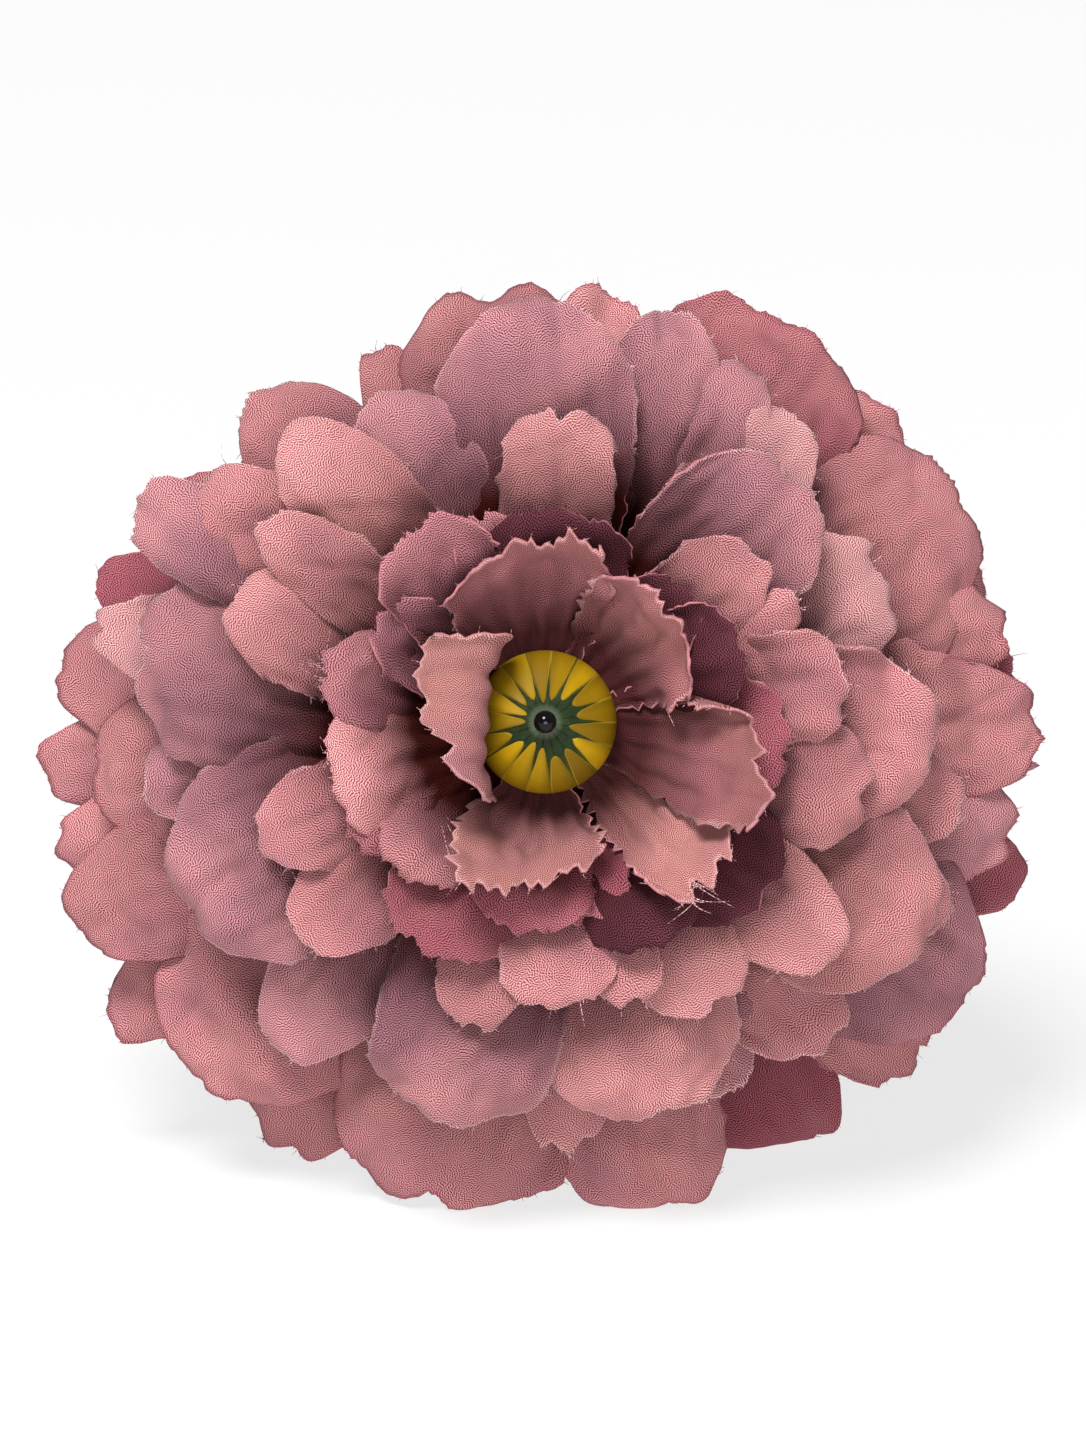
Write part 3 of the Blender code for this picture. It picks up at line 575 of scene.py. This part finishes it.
def midrib(layer, petal):
    """The midrib's length, its stations' share, radius and height, and the tilts between them."""
    line = cubic(rib_controls(layer, petal), np.linspace(0, 1, RIB_STEPS + 1))
    steps = np.diff(line, axis=0)
    lengths = np.linalg.norm(steps, axis=1)
    share = np.concatenate(([0], np.cumsum(lengths))) / lengths.sum()
    middles = (share[1:] + share[:-1]) / 2
    beyond = np.clip((middles - CURL_FROM) / (1 - CURL_FROM), 0, None)
    tilts = np.arctan2(steps[:, 1], steps[:, 0]) + math.radians(petal.curl) * beyond**1.5
    radii = line[0, 0] + np.concatenate(([0], np.cumsum(lengths * np.cos(tilts))))
    heights = line[0, 1] + np.concatenate(([0], np.cumsum(lengths * np.sin(tilts))))
    return lengths.sum(), share, radii, heights, middles, tilts


def half_width(layer, petal, q):
    narrow = layer.claw + (1 - layer.claw) * np.sin(math.pi / 2 * np.clip(q / BROADEST, 0, 1))
    tip = 1 - TIP_TAPER * (np.clip(q - BROADEST, 0, None) / (1 - BROADEST)) ** 2
    return petal.width / 2 * narrow * tip


def tip_outline(petal, t, phase):
    """How far along the midrib the petal ends at t, from -1 to 1 across."""
    edge = EDGES[petal.edge]
    wave = edge.wave * np.cos(math.pi * edge.waves * t + 2 * math.pi * phase) * (1 - t**4)
    notch = edge.notch * np.exp(-((t / NOTCH_WIDTH) ** 2))
    return 1 - edge.drop * np.abs(t) ** edge.power - notch + wave + edge.skew * t


def section(petal, q, t):
    """The cross-section at q: distance across and rise at t, in parts of the half width."""
    cup = np.radians(ROOT_CUP * (1 - q) ** 2 + petal.cup * np.minimum(1, q / CUP_FROM))
    fold = petal.fold
    grown = np.clip((q - FOLD_FROM) / (1 - FOLD_FROM), 0, 1) ** 0.5
    across = 0
    rise = 0
    for step in range(SECTION_STEPS):
        part = t * (step + 0.5) / SECTION_STEPS
        beyond = np.clip((fold.side * part - fold.start) / (1 - fold.start), 0, 1)
        slope = cup * part + fold.side * math.radians(fold.angle) * beyond * grown
        across = across + np.cos(slope) / SECTION_STEPS
        rise = rise + np.sin(slope) / SECTION_STEPS
    return t * across, t * rise


def bend_to_surface(points):
    """Lay what would reach below the surface flat on it, with a soft bend above it."""
    above = points @ UP + HEAD_HEIGHT - SOLE
    soft = REST_BEND * np.logaddexp(0, above / REST_BEND)
    return points + (soft - above)[..., None] * UP


class Sheet:
    """One petal as cloth, with its folds and its cut edge."""

    def __init__(self, layer, petal, index, seed):
        self.layer = layer
        self.petal = petal
        self.phase = (index * WAVE_SHIFT) % 1
        self.stagger = ROOT_STAGGER * math.cos(STAGGER_TURN * index)
        self.length, *self.rib = midrib(layer, petal)
        self.teeth = TEETH.get(layer.slot, NO_TEETH)
        self.rng = np.random.default_rng(seed)
        self.ragged = Waves(self.rng, FRAY_PITCH, 9)
        self.crumple = Waves(self.rng, CRUMPLE_PITCH)
        self.pucker = Waves(self.rng, PUCKER_PITCH, 9)
        self.crease = Waves(self.rng, CREASE_PITCH, 5)
        self.wander = Waves(self.rng, WANDER_PITCH, 5)
        self.lobe = Waves(self.rng, LOBE_PITCH, 5)
        self.turn = self.rng.uniform(0, 2 * math.pi, 3)

    def outline(self, t):
        """Share of the length at which the petal ends, with its teeth and ragged cut."""
        across = t * self.petal.width / 2
        return tip_outline(self.petal, t, self.phase) + self.cut(across, TIP_LINE) / self.length

    def cut(self, place, line):
        """How far the cut edge strays outwards at a place along it, in millimetres."""
        pitch, depth = self.teeth
        teeth = zigzag((place + WANDER * self.wander(place, line)) / pitch)
        teeth = teeth * (1 + TEETH_SPREAD * self.lobe(place, -line))
        return (
            LOBE_DEPTH * self.lobe(place, line)
            + FRAY * self.ragged(place, line)
            + depth / 2 * teeth
        )

    def points(self, s, t):
        """Points at s from root to tip and t across, with their q, side and along.

        Points are in the flower's frame and millimetres. q is the share of the length, side the
        distance straight across from the midrib, and along the distance from the root.
        """
        petal = self.petal
        s, t = np.broadcast_arrays(np.asarray(s, float), np.asarray(t, float))
        q = s * self.outline(t)
        share, radii, heights, middles, tilts = self.rib
        tilt = np.interp(q, middles, tilts)
        past = np.clip(q - 1, 0, None) * petal.reach
        radius = np.interp(q, share, radii) + past * np.cos(tilt)
        height = np.interp(q, share, heights) + past * np.sin(tilt)
        half = half_width(self.layer, petal, q)
        along = q * self.length
        strayed = self.cut(along, SIDE_LINE * np.sign(t)) / half
        t = t * (1 + strayed * np.abs(t) ** SIDE_POWER)
        side, rise = section(petal, q, t)
        side = side * half
        rise = rise * half + self.folds(q, t, side, along)
        radius = radius - np.sin(tilt) * rise
        height = height + np.cos(tilt) * rise
        angle = np.radians(petal.azimuth + petal.lean * (1 - q))
        x = radius * np.cos(angle) - side * np.sin(angle)
        y = radius * np.sin(angle) + side * np.cos(angle)
        height = height + self.stagger * np.clip(2 - 2 * s, 0, 1)
        return bend_to_surface(np.stack((x, y, height), -1)), q, side, along

    def folds(self, q, t, side, along):
        """Pleats from the gathered root, soft crumples, creases, puckers, a vein and a fluted edge."""
        free = np.clip(q / FREE_FROM, 0, 1) ** 2
        gathered = np.clip(PLEAT_FADE[0] - PLEAT_FADE[1] * q, 0, 1) * np.clip(q / PLEAT_FROM, 0, 1)
        across = 2 * math.pi * t * self.petal.width / 2 / PLEAT_PITCH
        pleats = np.sin(across + self.turn[0] + WANDER * self.wander(side, along))
        flutes = np.sin(2 * math.pi * q * FLUTES + self.turn[1] + np.sign(t) * self.turn[2])
        crease = CREASE_DEPTH * np.exp(-((self.crease(side, along) / CREASE_WIDTH) ** 2))
        vein = VEIN_DEPTH * np.exp(-((side / VEIN_WIDTH) ** 2))
        vein = vein * np.clip(VEIN_FADE - VEIN_FADE * q, 0, 1)
        return (
            PLEAT_DEPTH * pleats * gathered
            + CRUMPLE_DEPTH * self.crumple(side, along) * free
            - crease * free
            + PUCKER_DEPTH * self.pucker(side, along) * free
            + FLUTE_DEPTH * flutes * t**2 * np.abs(t) * free
            - vein * free
        )

    def dye(self, q):
        """Shares of mauve and crimson, strongest at the root, and of pale, strongest at the tip."""
        mauve, crimson, pale = TONES[self.petal.tone]
        root = np.clip(1 - q, 0, 1)
        return (
            np.clip(mauve * (1 - TIP_LOSS * q**2) + ROOT_MAUVE * root**DYE_POWER, 0, 1),
            np.clip(crimson + ROOT_CRIMSON * root, 0, 1),
            np.clip(pale * q, 0, 1),
        )

    def root_dye_and_shade(self, q):
        """The share of the roots' dark dye and painted shade for the gaps between layers, which fades
        towards the tip.
        """
        seen = self.layer.petals is RUFFLE
        end, most = (RUFFLE_FADE, RUFFLE_DYE_AND_SHADE) if seen else (ROOT_FADE, 1.0)
        return most * np.clip((end - q) / ROOT_SPAN, 0, 1) ** DYE_POWER


class MeshParts:
    """Collects grids of points with their values, and makes one mesh of them.

    dye holds three shares of colour; rim is the distance from the cut edge in millimetres; luck is
    a random number, one to a petal; root is the share of the root's dark dye and painted shade.
    """

    def __init__(self):
        self.points = []
        self.faces = []
        self.uvs = []
        self.values = {"dye": [], "rim": [], "luck": [], "root": []}
        self.count = 0

    def add_grid(self, points, uv, dye, rim, luck, root):
        """points is rows by columns by 3; the values have the same rows and columns."""
        rows, columns = points.shape[:2]
        index = np.arange(rows * columns).reshape(rows, columns) + self.count
        quads = np.stack((index[:-1, :-1], index[:-1, 1:], index[1:, 1:], index[1:, :-1]), -1)
        self.faces.append(quads.reshape(-1, 4))
        self.points.append(points.reshape(-1, 3))
        self.uvs.append(uv.reshape(-1, 2))
        self.values["dye"].append(dye.reshape(-1, 3))
        self.values["rim"].append(rim.reshape(-1))
        self.values["luck"].append(np.full(rows * columns, luck))
        self.values["root"].append(root.reshape(-1))
        self.count += rows * columns

    def mesh(self, name):
        points = np.concatenate(self.points)
        faces = np.concatenate(self.faces)
        mesh = bpy.data.meshes.new(name)
        mesh.vertices.add(len(points))
        mesh.vertices.foreach_set("co", to_world(points).astype(np.float32).ravel())
        mesh.loops.add(faces.size)
        mesh.loops.foreach_set("vertex_index", faces.astype(np.int32).ravel())
        mesh.polygons.add(len(faces))
        mesh.polygons.foreach_set("loop_start", np.arange(0, faces.size, 4, dtype=np.int32))
        mesh.update(calc_edges=True)
        uv = np.concatenate(self.uvs)[faces.ravel()]
        mesh.uv_layers.new(name="weave").data.foreach_set("uv", uv.astype(np.float32).ravel())
        dye = np.concatenate(self.values["dye"])
        colour = np.concatenate((dye, np.ones((len(dye), 1))), 1).astype(np.float32)
        data = mesh.attributes.new("dye", "FLOAT_COLOR", "POINT").data
        data.foreach_set("color", colour.ravel())
        for key in ("rim", "luck", "root"):
            values = np.concatenate(self.values[key]).astype(np.float32)
            mesh.attributes.new(key, "FLOAT", "POINT").data.foreach_set("value", values)
        mesh.shade_smooth()
        return mesh


def add_petal(parts, sheet, luck):
    cell = HIDDEN_CELL if sheet.layer.petals in (BACK, LAST) else CELL
    rows = round(sheet.length / cell[1]) + 1
    columns = round(sheet.petal.width / cell[0]) + 1
    s = np.linspace(0, 1, rows)[:, None]
    t = np.linspace(-1, 1, columns)[None, :]
    points, q, side, along = sheet.points(s, t)
    half = half_width(sheet.layer, sheet.petal, q)
    to_tip = (sheet.outline(t) - q) * sheet.length
    rim = np.minimum(to_tip, (1 - np.abs(t)) * half)
    uv = np.stack((side, along), -1)
    dye = np.stack(sheet.dye(q), -1)
    parts.add_grid(points, uv, dye, rim, luck, sheet.root_dye_and_shade(q))


def add_thread(parts, sheet, luck, s, t, length, count, pale):
    """A thread that leaves the cut edge at s and t, as a thin bent tube."""
    rng = sheet.rng
    inner, _, _, _ = sheet.points(min(s, INNER_POINT[0]), INNER_POINT[1] * t)
    start, q, side, along = sheet.points(s, t)
    out = start - inner
    out = out / (np.linalg.norm(out) + TINY) + rng.normal(0, THREAD_STRAY, 3)
    bend = rng.normal(0, THREAD_STRAY, 3)
    share = np.linspace(0, 1, count)[:, None]
    line = start - THREAD_HOLD * out + length * (out * share + bend * share**2)
    line = bend_to_surface(line)
    across = np.cross(out, SLANT)
    across = across / np.linalg.norm(across)
    other = np.cross(out, across)
    other = other / np.linalg.norm(other)
    turn = np.linspace(0, 2 * math.pi, THREAD_SIDES + 1)[:, None]
    ring = across * np.cos(turn) + other * np.sin(turn)
    thick = LINT_RADIUS * (1 - THREAD_TAPER * share)
    tube = line[:, None, :] + thick[:, None, :] * ring[None]
    flat = np.ones(tube.shape[:2])
    mauve, crimson, own = sheet.dye(q)
    dye = np.stack((flat * mauve, flat * crimson, flat * np.maximum(own, pale)), -1)
    uv = np.stack((flat * side, flat * along + length * share), -1)
    parts.add_grid(tube, uv, dye, flat * 0, luck, flat * 0)


def add_threads(parts, sheet, luck):
    """Lint along the cut edge: short ends of threads, now and then a long one, and a loose bunch."""
    rng = sheet.rng
    for _ in range(LINT):
        if rng.random() < TIP_LINT:
            s, t = 1.0, rng.uniform(-TIP_SPAN, TIP_SPAN)
        else:
            s, t = rng.uniform(SIDE_FROM, 1.0), rng.choice((-1.0, 1.0))
        length = rng.choice(LINT_LENGTHS, p=LINT_SHARES) * rng.uniform(*LINT_VARY)
        add_thread(parts, sheet, luck, s, t, length, LINT_POINTS, 0.0)
    middle = TATTERED.get((sheet.layer.slot, sheet.petal.azimuth))
    if middle is not None:
        for _ in range(LOOSE_THREADS):
            length = LOOSE_LENGTH * rng.uniform(*LOOSE_VARY)
            t = middle + rng.uniform(-LOOSE_SPREAD, LOOSE_SPREAD)
            add_thread(parts, sheet, luck, 1.0, t, length, LOOSE_POINTS, 1.0)


def add_ring(parts, layer):
    """The middle of the layer, where its petals meet round the peg."""
    radius = np.linspace(RING_INNER, RING_OUTER, RING_POINTS[0])[:, None]
    turn = np.linspace(0, 2 * math.pi, RING_POINTS[1])[None, :]
    ripple = RING_RIPPLE * np.sin(RING_RIPPLES * turn)
    height = layer.root_height + ripple * (radius - RING_INNER) / RING_OUTER
    points = np.stack((radius * np.cos(turn), radius * np.sin(turn), height + 0 * radius), -1)
    flat = np.ones(points.shape[:2])
    dye = flat[..., None] * RING_DYE
    # the ring takes the roots' full dark dye and painted shade
    parts.add_grid(points, points[..., :2], dye, flat * RING_RIM, 0.5, flat)


class Nodes:
    """Short calls for building a material's node tree."""

    def __init__(self, name):
        self.material = bpy.data.materials.new(name)
        self.material.use_nodes = True
        self.tree = self.material.node_tree
        self.shader = self.tree.nodes["Principled BSDF"]

    def add(self, kind, **settings):
        node = self.tree.nodes.new(kind)
        for key, value in settings.items():
            setattr(node, key, value)
        return node

    def feed(self, socket, value):
        """Link the socket to another one, or give it a constant."""
        if isinstance(value, bpy.types.NodeSocket):
            self.tree.links.new(value, socket)
        else:
            socket.default_value = value

    def feed_all(self, node, values):
        """Feed a node's inputs, which are named or numbered by the keys."""
        for key, value in values.items():
            self.feed(node.inputs[key], value)
        return node

    def surface(self, values):
        """Feed the shader's inputs, and return the material."""
        self.feed_all(self.shader, values)
        return self.material

    def math(self, operation, *values, clamp=False):
        node = self.add("ShaderNodeMath", operation=operation, use_clamp=clamp)
        return self.feed_all(node, dict(enumerate(values))).outputs[0]

    def mix(self, share, one, other, blend="MIX"):
        node = self.add("ShaderNodeMix", data_type="RGBA", blend_type=blend)
        return self.feed_all(node, {0: share, 6: one, 7: other}).outputs[2]

    def times(self, one, other):
        return self.mix(1.0, one, other, "MULTIPLY")

    def attribute(self, name, output="Fac"):
        return self.add("ShaderNodeAttribute", attribute_name=name).outputs[output]

    def where(self):
        return self.add("ShaderNodeTexCoord").outputs["Object"]

    def noise(self, vector, scale, detail=2.0, rough=0.5):
        node = self.add("ShaderNodeTexNoise")
        values = {"Vector": vector, "Scale": scale, "Detail": detail, "Roughness": rough}
        return self.feed_all(node, values).outputs[0]

    def ramp(self, value, low, high, to_low=0.0, to_high=1.0):
        node = self.add("ShaderNodeMapRange")
        return self.feed_all(node, dict(enumerate((value, low, high, to_low, to_high)))).outputs[0]

    def bump(self, height, strength=0.3, distance=0.0001):
        node = self.add("ShaderNodeBump")
        values = {"Strength": strength, "Distance": distance, "Height": height}
        return self.feed_all(node, values).outputs[0]


def cloth_material(name, cloth):
    """Crepe cloth: swirling ridges with painted sheen and pores with painted shade, uneven dye, a
    tinted edge, and roots darkened by dye and painted shade.
    """
    n = Nodes(name)
    luck = n.attribute("luck")
    shift = n.add("ShaderNodeVectorMath", operation="MULTIPLY_ADD")
    uv = n.add("ShaderNodeUVMap", uv_map="weave").outputs[0]
    spot = n.feed_all(shift, {0: luck, 1: LUCK_SHIFT, 2: uv}).outputs[0]
    swirl = n.math("SUBTRACT", n.noise(spot, SWIRL_GRAIN, 1.0), 0.5)
    swirl = n.math("ADD", n.math("MULTIPLY", swirl, SWIRL_TURN), math.pi / 2)
    crepe = n.feed_all(n.add("ShaderNodeTexGabor"), {
        "Vector": spot,
        "Scale": 1 / CREPE_PATCH,
        "Frequency": CREPE_PATCH / cloth.pitch,
        "Anisotropy": CREPE_ORDER,
        "Orientation": swirl,
    })
    ridge = crepe.outputs["Value"]

    dye = n.add("ShaderNodeSeparateColor")
    n.feed(dye.inputs[0], n.attribute("dye", "Color"))
    uneven = n.math("SUBTRACT", n.noise(spot, BLOTCH_GRAIN, 3.0), 0.5)
    colour = cloth.base
    for share, blotch, other in zip(dye.outputs, BLOTCH_SHARES, (MAUVE, CRIMSON, PALE)):
        share = n.math("ADD", share, n.math("MULTIPLY", uneven, blotch), clamp=True)
        colour = n.mix(share, colour, other)
    rim = n.ramp(n.attribute("rim"), 0.0, cloth.edge_width, cloth.edge_share, 0.0)
    colour = n.mix(rim, colour, cloth.edge)
    colour = n.mix(n.math("MULTIPLY", dye.outputs[0], dye.outputs[1]), colour, PLUM)
    # the roots' dark dye, with painted shade for the gaps between the layers
    colour = n.mix(n.attribute("root"), colour, ROOT_DYE_AND_SHADE)
    # the ridges get a painted sheen and the pores a painted shade
    height = n.ramp(ridge, *PORE_LEVELS, 0.5 - cloth.grain / 2, 0.5 + cloth.grain / 2)
    shade = n.mix(height, PORE_PAINTED_SHADE, RIDGE_PAINTED_SHEEN)
    shade = n.times(shade, n.ramp(luck, 0.0, 1.0, *LUCK_SHADE))
    return n.surface({
        "Base Color": n.times(colour, shade),
        "Roughness": n.ramp(ridge, 0.3, 0.7, 0.95, 0.75),
        "Specular IOR Level": 0.03,
        "Sheen Weight": 0.02,
        "Sheen Roughness": 0.5,
    })


def cut_edge_material():
    """The cloth's cut edge, lighter and fuzzier than its faces."""
    n = Nodes("cloth_cut_edge")
    fuzz = n.noise(n.where(), 2600.0, 3.0, 0.7)
    return n.surface({
        "Base Color": n.mix(n.ramp(fuzz, 0.40, 0.75, 0.0, 0.7), CUT_COLOUR, PALE),
        "Roughness": 1.0,
        "Specular IOR Level": 0.1,
    })


def petal_layer(node, layer, seed, cloth, cut_edge):
    """A layer of cloth petals in place of the solid, and the threads of their edges."""
    luck = np.random.default_rng(seed).uniform(0, 1, len(layer.petals))
    sheets = MeshParts()
    threads = MeshParts()
    add_ring(sheets, layer)
    for index, petal in enumerate(layer.petals):
        sheet = Sheet(layer, petal, index, seed * SEEDS_TO_A_LAYER + index)
        add_petal(sheets, sheet, luck[index])
        add_threads(threads, sheet, luck[index])

    piece = show("cloth_" + node, sheets.mesh("cloth_" + node))
    piece.data.materials.append(cloth)
    piece.data.materials.append(cut_edge)
    solidify = piece.modifiers.new("Cloth", "SOLIDIFY")
    solidify.thickness = CLOTH * MM
    solidify.offset = 0
    solidify.material_offset_rim = 1
    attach(piece, "root")
    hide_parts(node)

    fray = show("threads_" + node, threads.mesh("threads_" + node))
    fray.data.materials.append(cloth)
    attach(fray, "root")


def turned(name, profile, columns, shape=None):
    """A profile of radius and height turned round the axis, with each point's radius and turn."""
    profile = np.array(profile, float)
    turn = np.linspace(0, 2 * math.pi, columns, endpoint=False)[None, :]
    radius = profile[:, 0][:, None]
    height = profile[:, 1][:, None] + 0 * turn
    if shape is not None:
        height = shape(radius, turn, height)
    points = np.stack((radius * np.cos(turn), radius * np.sin(turn), height), -1)
    index = np.arange(height.size).reshape(height.shape)
    beside = np.roll(index, -1, axis=1)
    quads = np.stack((index[:-1], index[1:], beside[1:], beside[:-1]), -1).reshape(-1, 4)
    mesh = bpy.data.meshes.new(name)
    mesh.from_pydata([tuple(p) for p in to_world(points.reshape(-1, 3))], [], quads.tolist())
    mesh.validate()
    mesh.shade_smooth()
    return show(name, mesh), radius + 0 * turn, turn + 0 * radius


def ray_cover(radius, turn):
    """How far inside a yellow ray a place is, its side of the ray from -1 to 1, and the ray's luck."""
    rng = np.random.default_rng(RAY_SEED)
    inner = rng.uniform(*RAY_START, BUTTON_RIBS)
    wide = rng.uniform(*RAY_WIDTH, BUTTON_RIBS)
    lucks = rng.uniform(0, 1, BUTTON_RIBS)
    bow = rng.uniform(-RAY_BOW, RAY_BOW, BUTTON_RIBS)
    share = turn / (2 * math.pi) * BUTTON_RIBS
    which = np.floor(share).astype(int) % BUTTON_RIBS
    across = 2 * (share - np.floor(share)) - 1 + bow[which] * np.sin(radius)
    rounded = np.clip((radius - inner[which]) / RAY_ROUND, 0, 1)
    spread = np.clip((radius - inner[which]) / RAY_SPREAD, 0, 1)
    spread = RAY_NARROW + (1 - RAY_NARROW) * spread
    half = wide[which] * np.sqrt(1 - (1 - rounded) ** 2) * spread
    return half - np.abs(across), across, lucks[which]


def button_material():
    """Painted rays, each of its own depth of yellow, lighter at its outline and darker on one side with
    a painted shadow of its overlapping neighbour, over dark green.
    """
    n = Nodes("button_paint")
    inside = n.attribute("ray")
    outward = n.attribute("outward")
    where = n.where()
    specks = n.noise(where, 900.0, 4.0, 0.65)
    blotch = n.noise(where, 260.0, 3.0)
    yellow = n.mix(n.attribute("ray_luck"), *RAY_YELLOWS)
    yellow = n.mix(n.ramp(blotch, 0.35, 0.75, 0.0, 0.6), yellow, RAY_BLOTCH)
    yellow = n.mix(n.ramp(inside, 0.03, 0.16, 0.75, 0.0), yellow, RAY_OUTLINE)
    # a painted shadow darkens one side of each ray, where its neighbour overlaps it
    yellow = n.mix(n.ramp(n.attribute("ray_side"), 0.1, 1.0, 0.0, 0.65), yellow, RAY_PAINTED_SHADOW)
    green = n.mix(n.ramp(specks, 0.35, 0.7), *BUTTON_GREENS)
    green = n.mix(n.ramp(outward, 0.14, 0.26, 0.9, 0.0), green, BUTTON_HALO)
    green = n.mix(n.ramp(outward, 0.5, 0.95), green, BUTTON_OLIVE)
    return n.surface({
        "Base Color": n.mix(n.ramp(inside, -0.03, 0.05), green, yellow),
        "Roughness": n.ramp(specks, 0.3, 0.7, 0.38, 0.6),
        "Specular IOR Level": 0.09,
        "Normal": n.bump(specks),
    })


def centre_button():
    """The painted dome: overlapping yellow rays on a dark green centre."""
    profile = []
    for ring in range(DOME_RINGS + 1):
        share = ring / DOME_RINGS
        radius = PIN_HOLE + (BUTTON_RADIUS - PIN_HOLE) * math.sin(share * math.pi / 2)
        height = BUTTON_BASE + BUTTON_RIM + BUTTON_DOME * math.cos(share * math.pi / 2)
        profile.append((radius, height))
    profile.append((BUTTON_RADIUS, BUTTON_BASE + BUTTON_BEVEL))
    profile.append((BUTTON_RADIUS - BUTTON_BEVEL, BUTTON_BASE))
    profile.append((PIN_HOLE, BUTTON_BASE))
    profile.append(profile[0])

    def relief(radius, turn, height):
        inside, across, _ = ray_cover(radius, turn)
        top = np.arange(len(height))[:, None] <= DOME_RINGS
        raised = np.clip(inside * RAY_STEEP, 0, 1) * RAY_HEIGHT
        raised = raised + RAY_TILT * across * np.clip(inside * TILT_STEEP, 0, 1)
        groove = -GROOVE_DEPTH * np.clip(1 - np.abs(inside) * GROOVE_STEEP, 0, 1)
        fade = np.clip((radius - PIN_HOLE) / CENTRE_FADE, 0, 1)
        return height + (raised + groove - CENTRE_DEPTH) * fade * top

    piece, radius, turn = turned("button_dome", profile, BUTTON_RIBS * RIB_COLUMNS, relief)
    inside, side, lucks = ray_cover(radius, turn)
    outward = radius / BUTTON_RADIUS
    values = {"ray": inside, "ray_side": side, "ray_luck": lucks, "outward": outward}
    for key, value in values.items():
        data = piece.data.attributes.new(key, "FLOAT", "POINT").data
        data.foreach_set("value", value.astype(np.float32).ravel())
    piece.data.materials.append(button_material())
    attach(piece, "root")
    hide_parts("centre_button")


def pin_material():
    n = Nodes("pin_enamel")
    haze = n.noise(n.where(), 500.0, 3.0)
    return n.surface({
        "Base Color": n.mix(haze, *BEAD_BLACKS),
        "Roughness": n.ramp(haze, 0.3, 0.7, 0.08, 0.13),
        "Specular IOR Level": 0.25,
    })


def centre_pin():
    """A glossy bead on a shank, pushed through the button into the peg."""
    centre = BUTTON_BASE + BUTTON_RIM + BUTTON_DOME + PIN_HEAD * PIN_SEAT + PIN_GAP
    neck = math.asin(PIN_RADIUS / PIN_HEAD)
    profile = []
    for ring in range(PIN_RINGS + 1):
        angle = ring / PIN_RINGS * (math.pi - neck)
        radius = max(PIN_TIP, PIN_HEAD * math.sin(angle))
        profile.append((radius, centre + PIN_HEAD * math.cos(angle)))
    profile.append((PIN_RADIUS, BUTTON_BASE - PIN_DEPTH + PIN_POINT))
    profile.append((PIN_TIP, BUTTON_BASE - PIN_DEPTH))
    piece, _, _ = turned("pin_bead", profile, PIN_COLUMNS)
    piece.data.materials.append(pin_material())
    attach(piece, "root")
    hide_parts("centre_pin")


def plastic_material():
    n = Nodes("green_plastic")
    where = n.where()
    mottle = n.noise(where, 160.0, 4.0, 0.6)
    return n.surface({
        "Base Color": n.mix(mottle, *PLASTIC_GREENS),
        "Roughness": n.ramp(mottle, 0.3, 0.7, 0.42, 0.6),
        "Normal": n.bump(n.noise(where, 1500.0)),
    })


def floor():
    """A plain grey surface with light of its own, which looks like an overlit white sweep."""
    corners = [(-1, -1, 0), (1, -1, 0), (1, 1, 0), (-1, 1, 0)]
    mesh = bpy.data.meshes.new("floor")
    mesh.from_pydata([Vector(corner) * FLOOR_REACH for corner in corners], [], [(0, 1, 2, 3)])
    sweep = show("floor", mesh)
    mesh.materials.append(Nodes("floor_white").surface({
        "Base Color": FLOOR_GREY,
        "Roughness": 0.9,
        "Specular IOR Level": 0.1,
        "Emission Color": WHITE,
        "Emission Strength": FLOOR_GLOW,
    }))


def studio():
    """Two soft lamps, an even dim sky and plain colours."""
    for name, lamp in LAMPS.items():
        light = bpy.data.lights.new(name, "AREA")
        light.shape = "DISK"
        light.size = lamp.size
        light.energy = lamp.watts
        stand = show(name, light)
        stand.location = lamp.place
        towards = Vector(LAMP_AIM) - Vector(lamp.place)
        stand.rotation_euler = towards.to_track_quat("-Z", "Y").to_euler()
    world = bpy.data.worlds.new("studio")
    world.use_nodes = True
    sky = world.node_tree.nodes["Background"]
    sky.inputs["Color"].default_value = WHITE
    sky.inputs["Strength"].default_value = SKY_STRENGTH
    bpy.context.scene.world = world
    bpy.context.scene.view_settings.view_transform = "Standard"


def camera():
    """Looks down the flower's axis, so that its centre falls on the photo's pixel."""
    width, height = PHOTO_SIZE
    right = (width / 2 - PHOTO_CENTRE[0]) / PHOTO_SCALE
    above = (PHOTO_CENTRE[1] - height / 2) / PHOTO_SCALE
    data = bpy.data.cameras.new("camera")
    data.sensor_width = SENSOR
    data.lens = SENSOR * CAMERA_DISTANCE / (height / PHOTO_SCALE)
    data.clip_start = 0.01
    data.clip_end = 20.0
    view = show("camera", data)
    place = Vector((right, above, MIDDLE_HEIGHT + CAMERA_DISTANCE)) * MM
    view.matrix_world = PLACE @ Matrix.Translation(place)
    bpy.context.scene.camera = view


camera()
studio()
floor()
cloths = {slot: cloth_material(slot, cloth) for slot, cloth in CLOTHS.items()}
cut_edge = cut_edge_material()
for seed, (node, layer) in enumerate(LAYERS.items(), start=1):
    petal_layer(node, layer, seed, cloths[layer.slot], cut_edge)
centre_button()
centre_pin()
green = plastic_material()
for node in ("peg", "calyx"):
    frame["nodes"][node].data.materials.clear()
    frame["nodes"][node].data.materials.append(green)
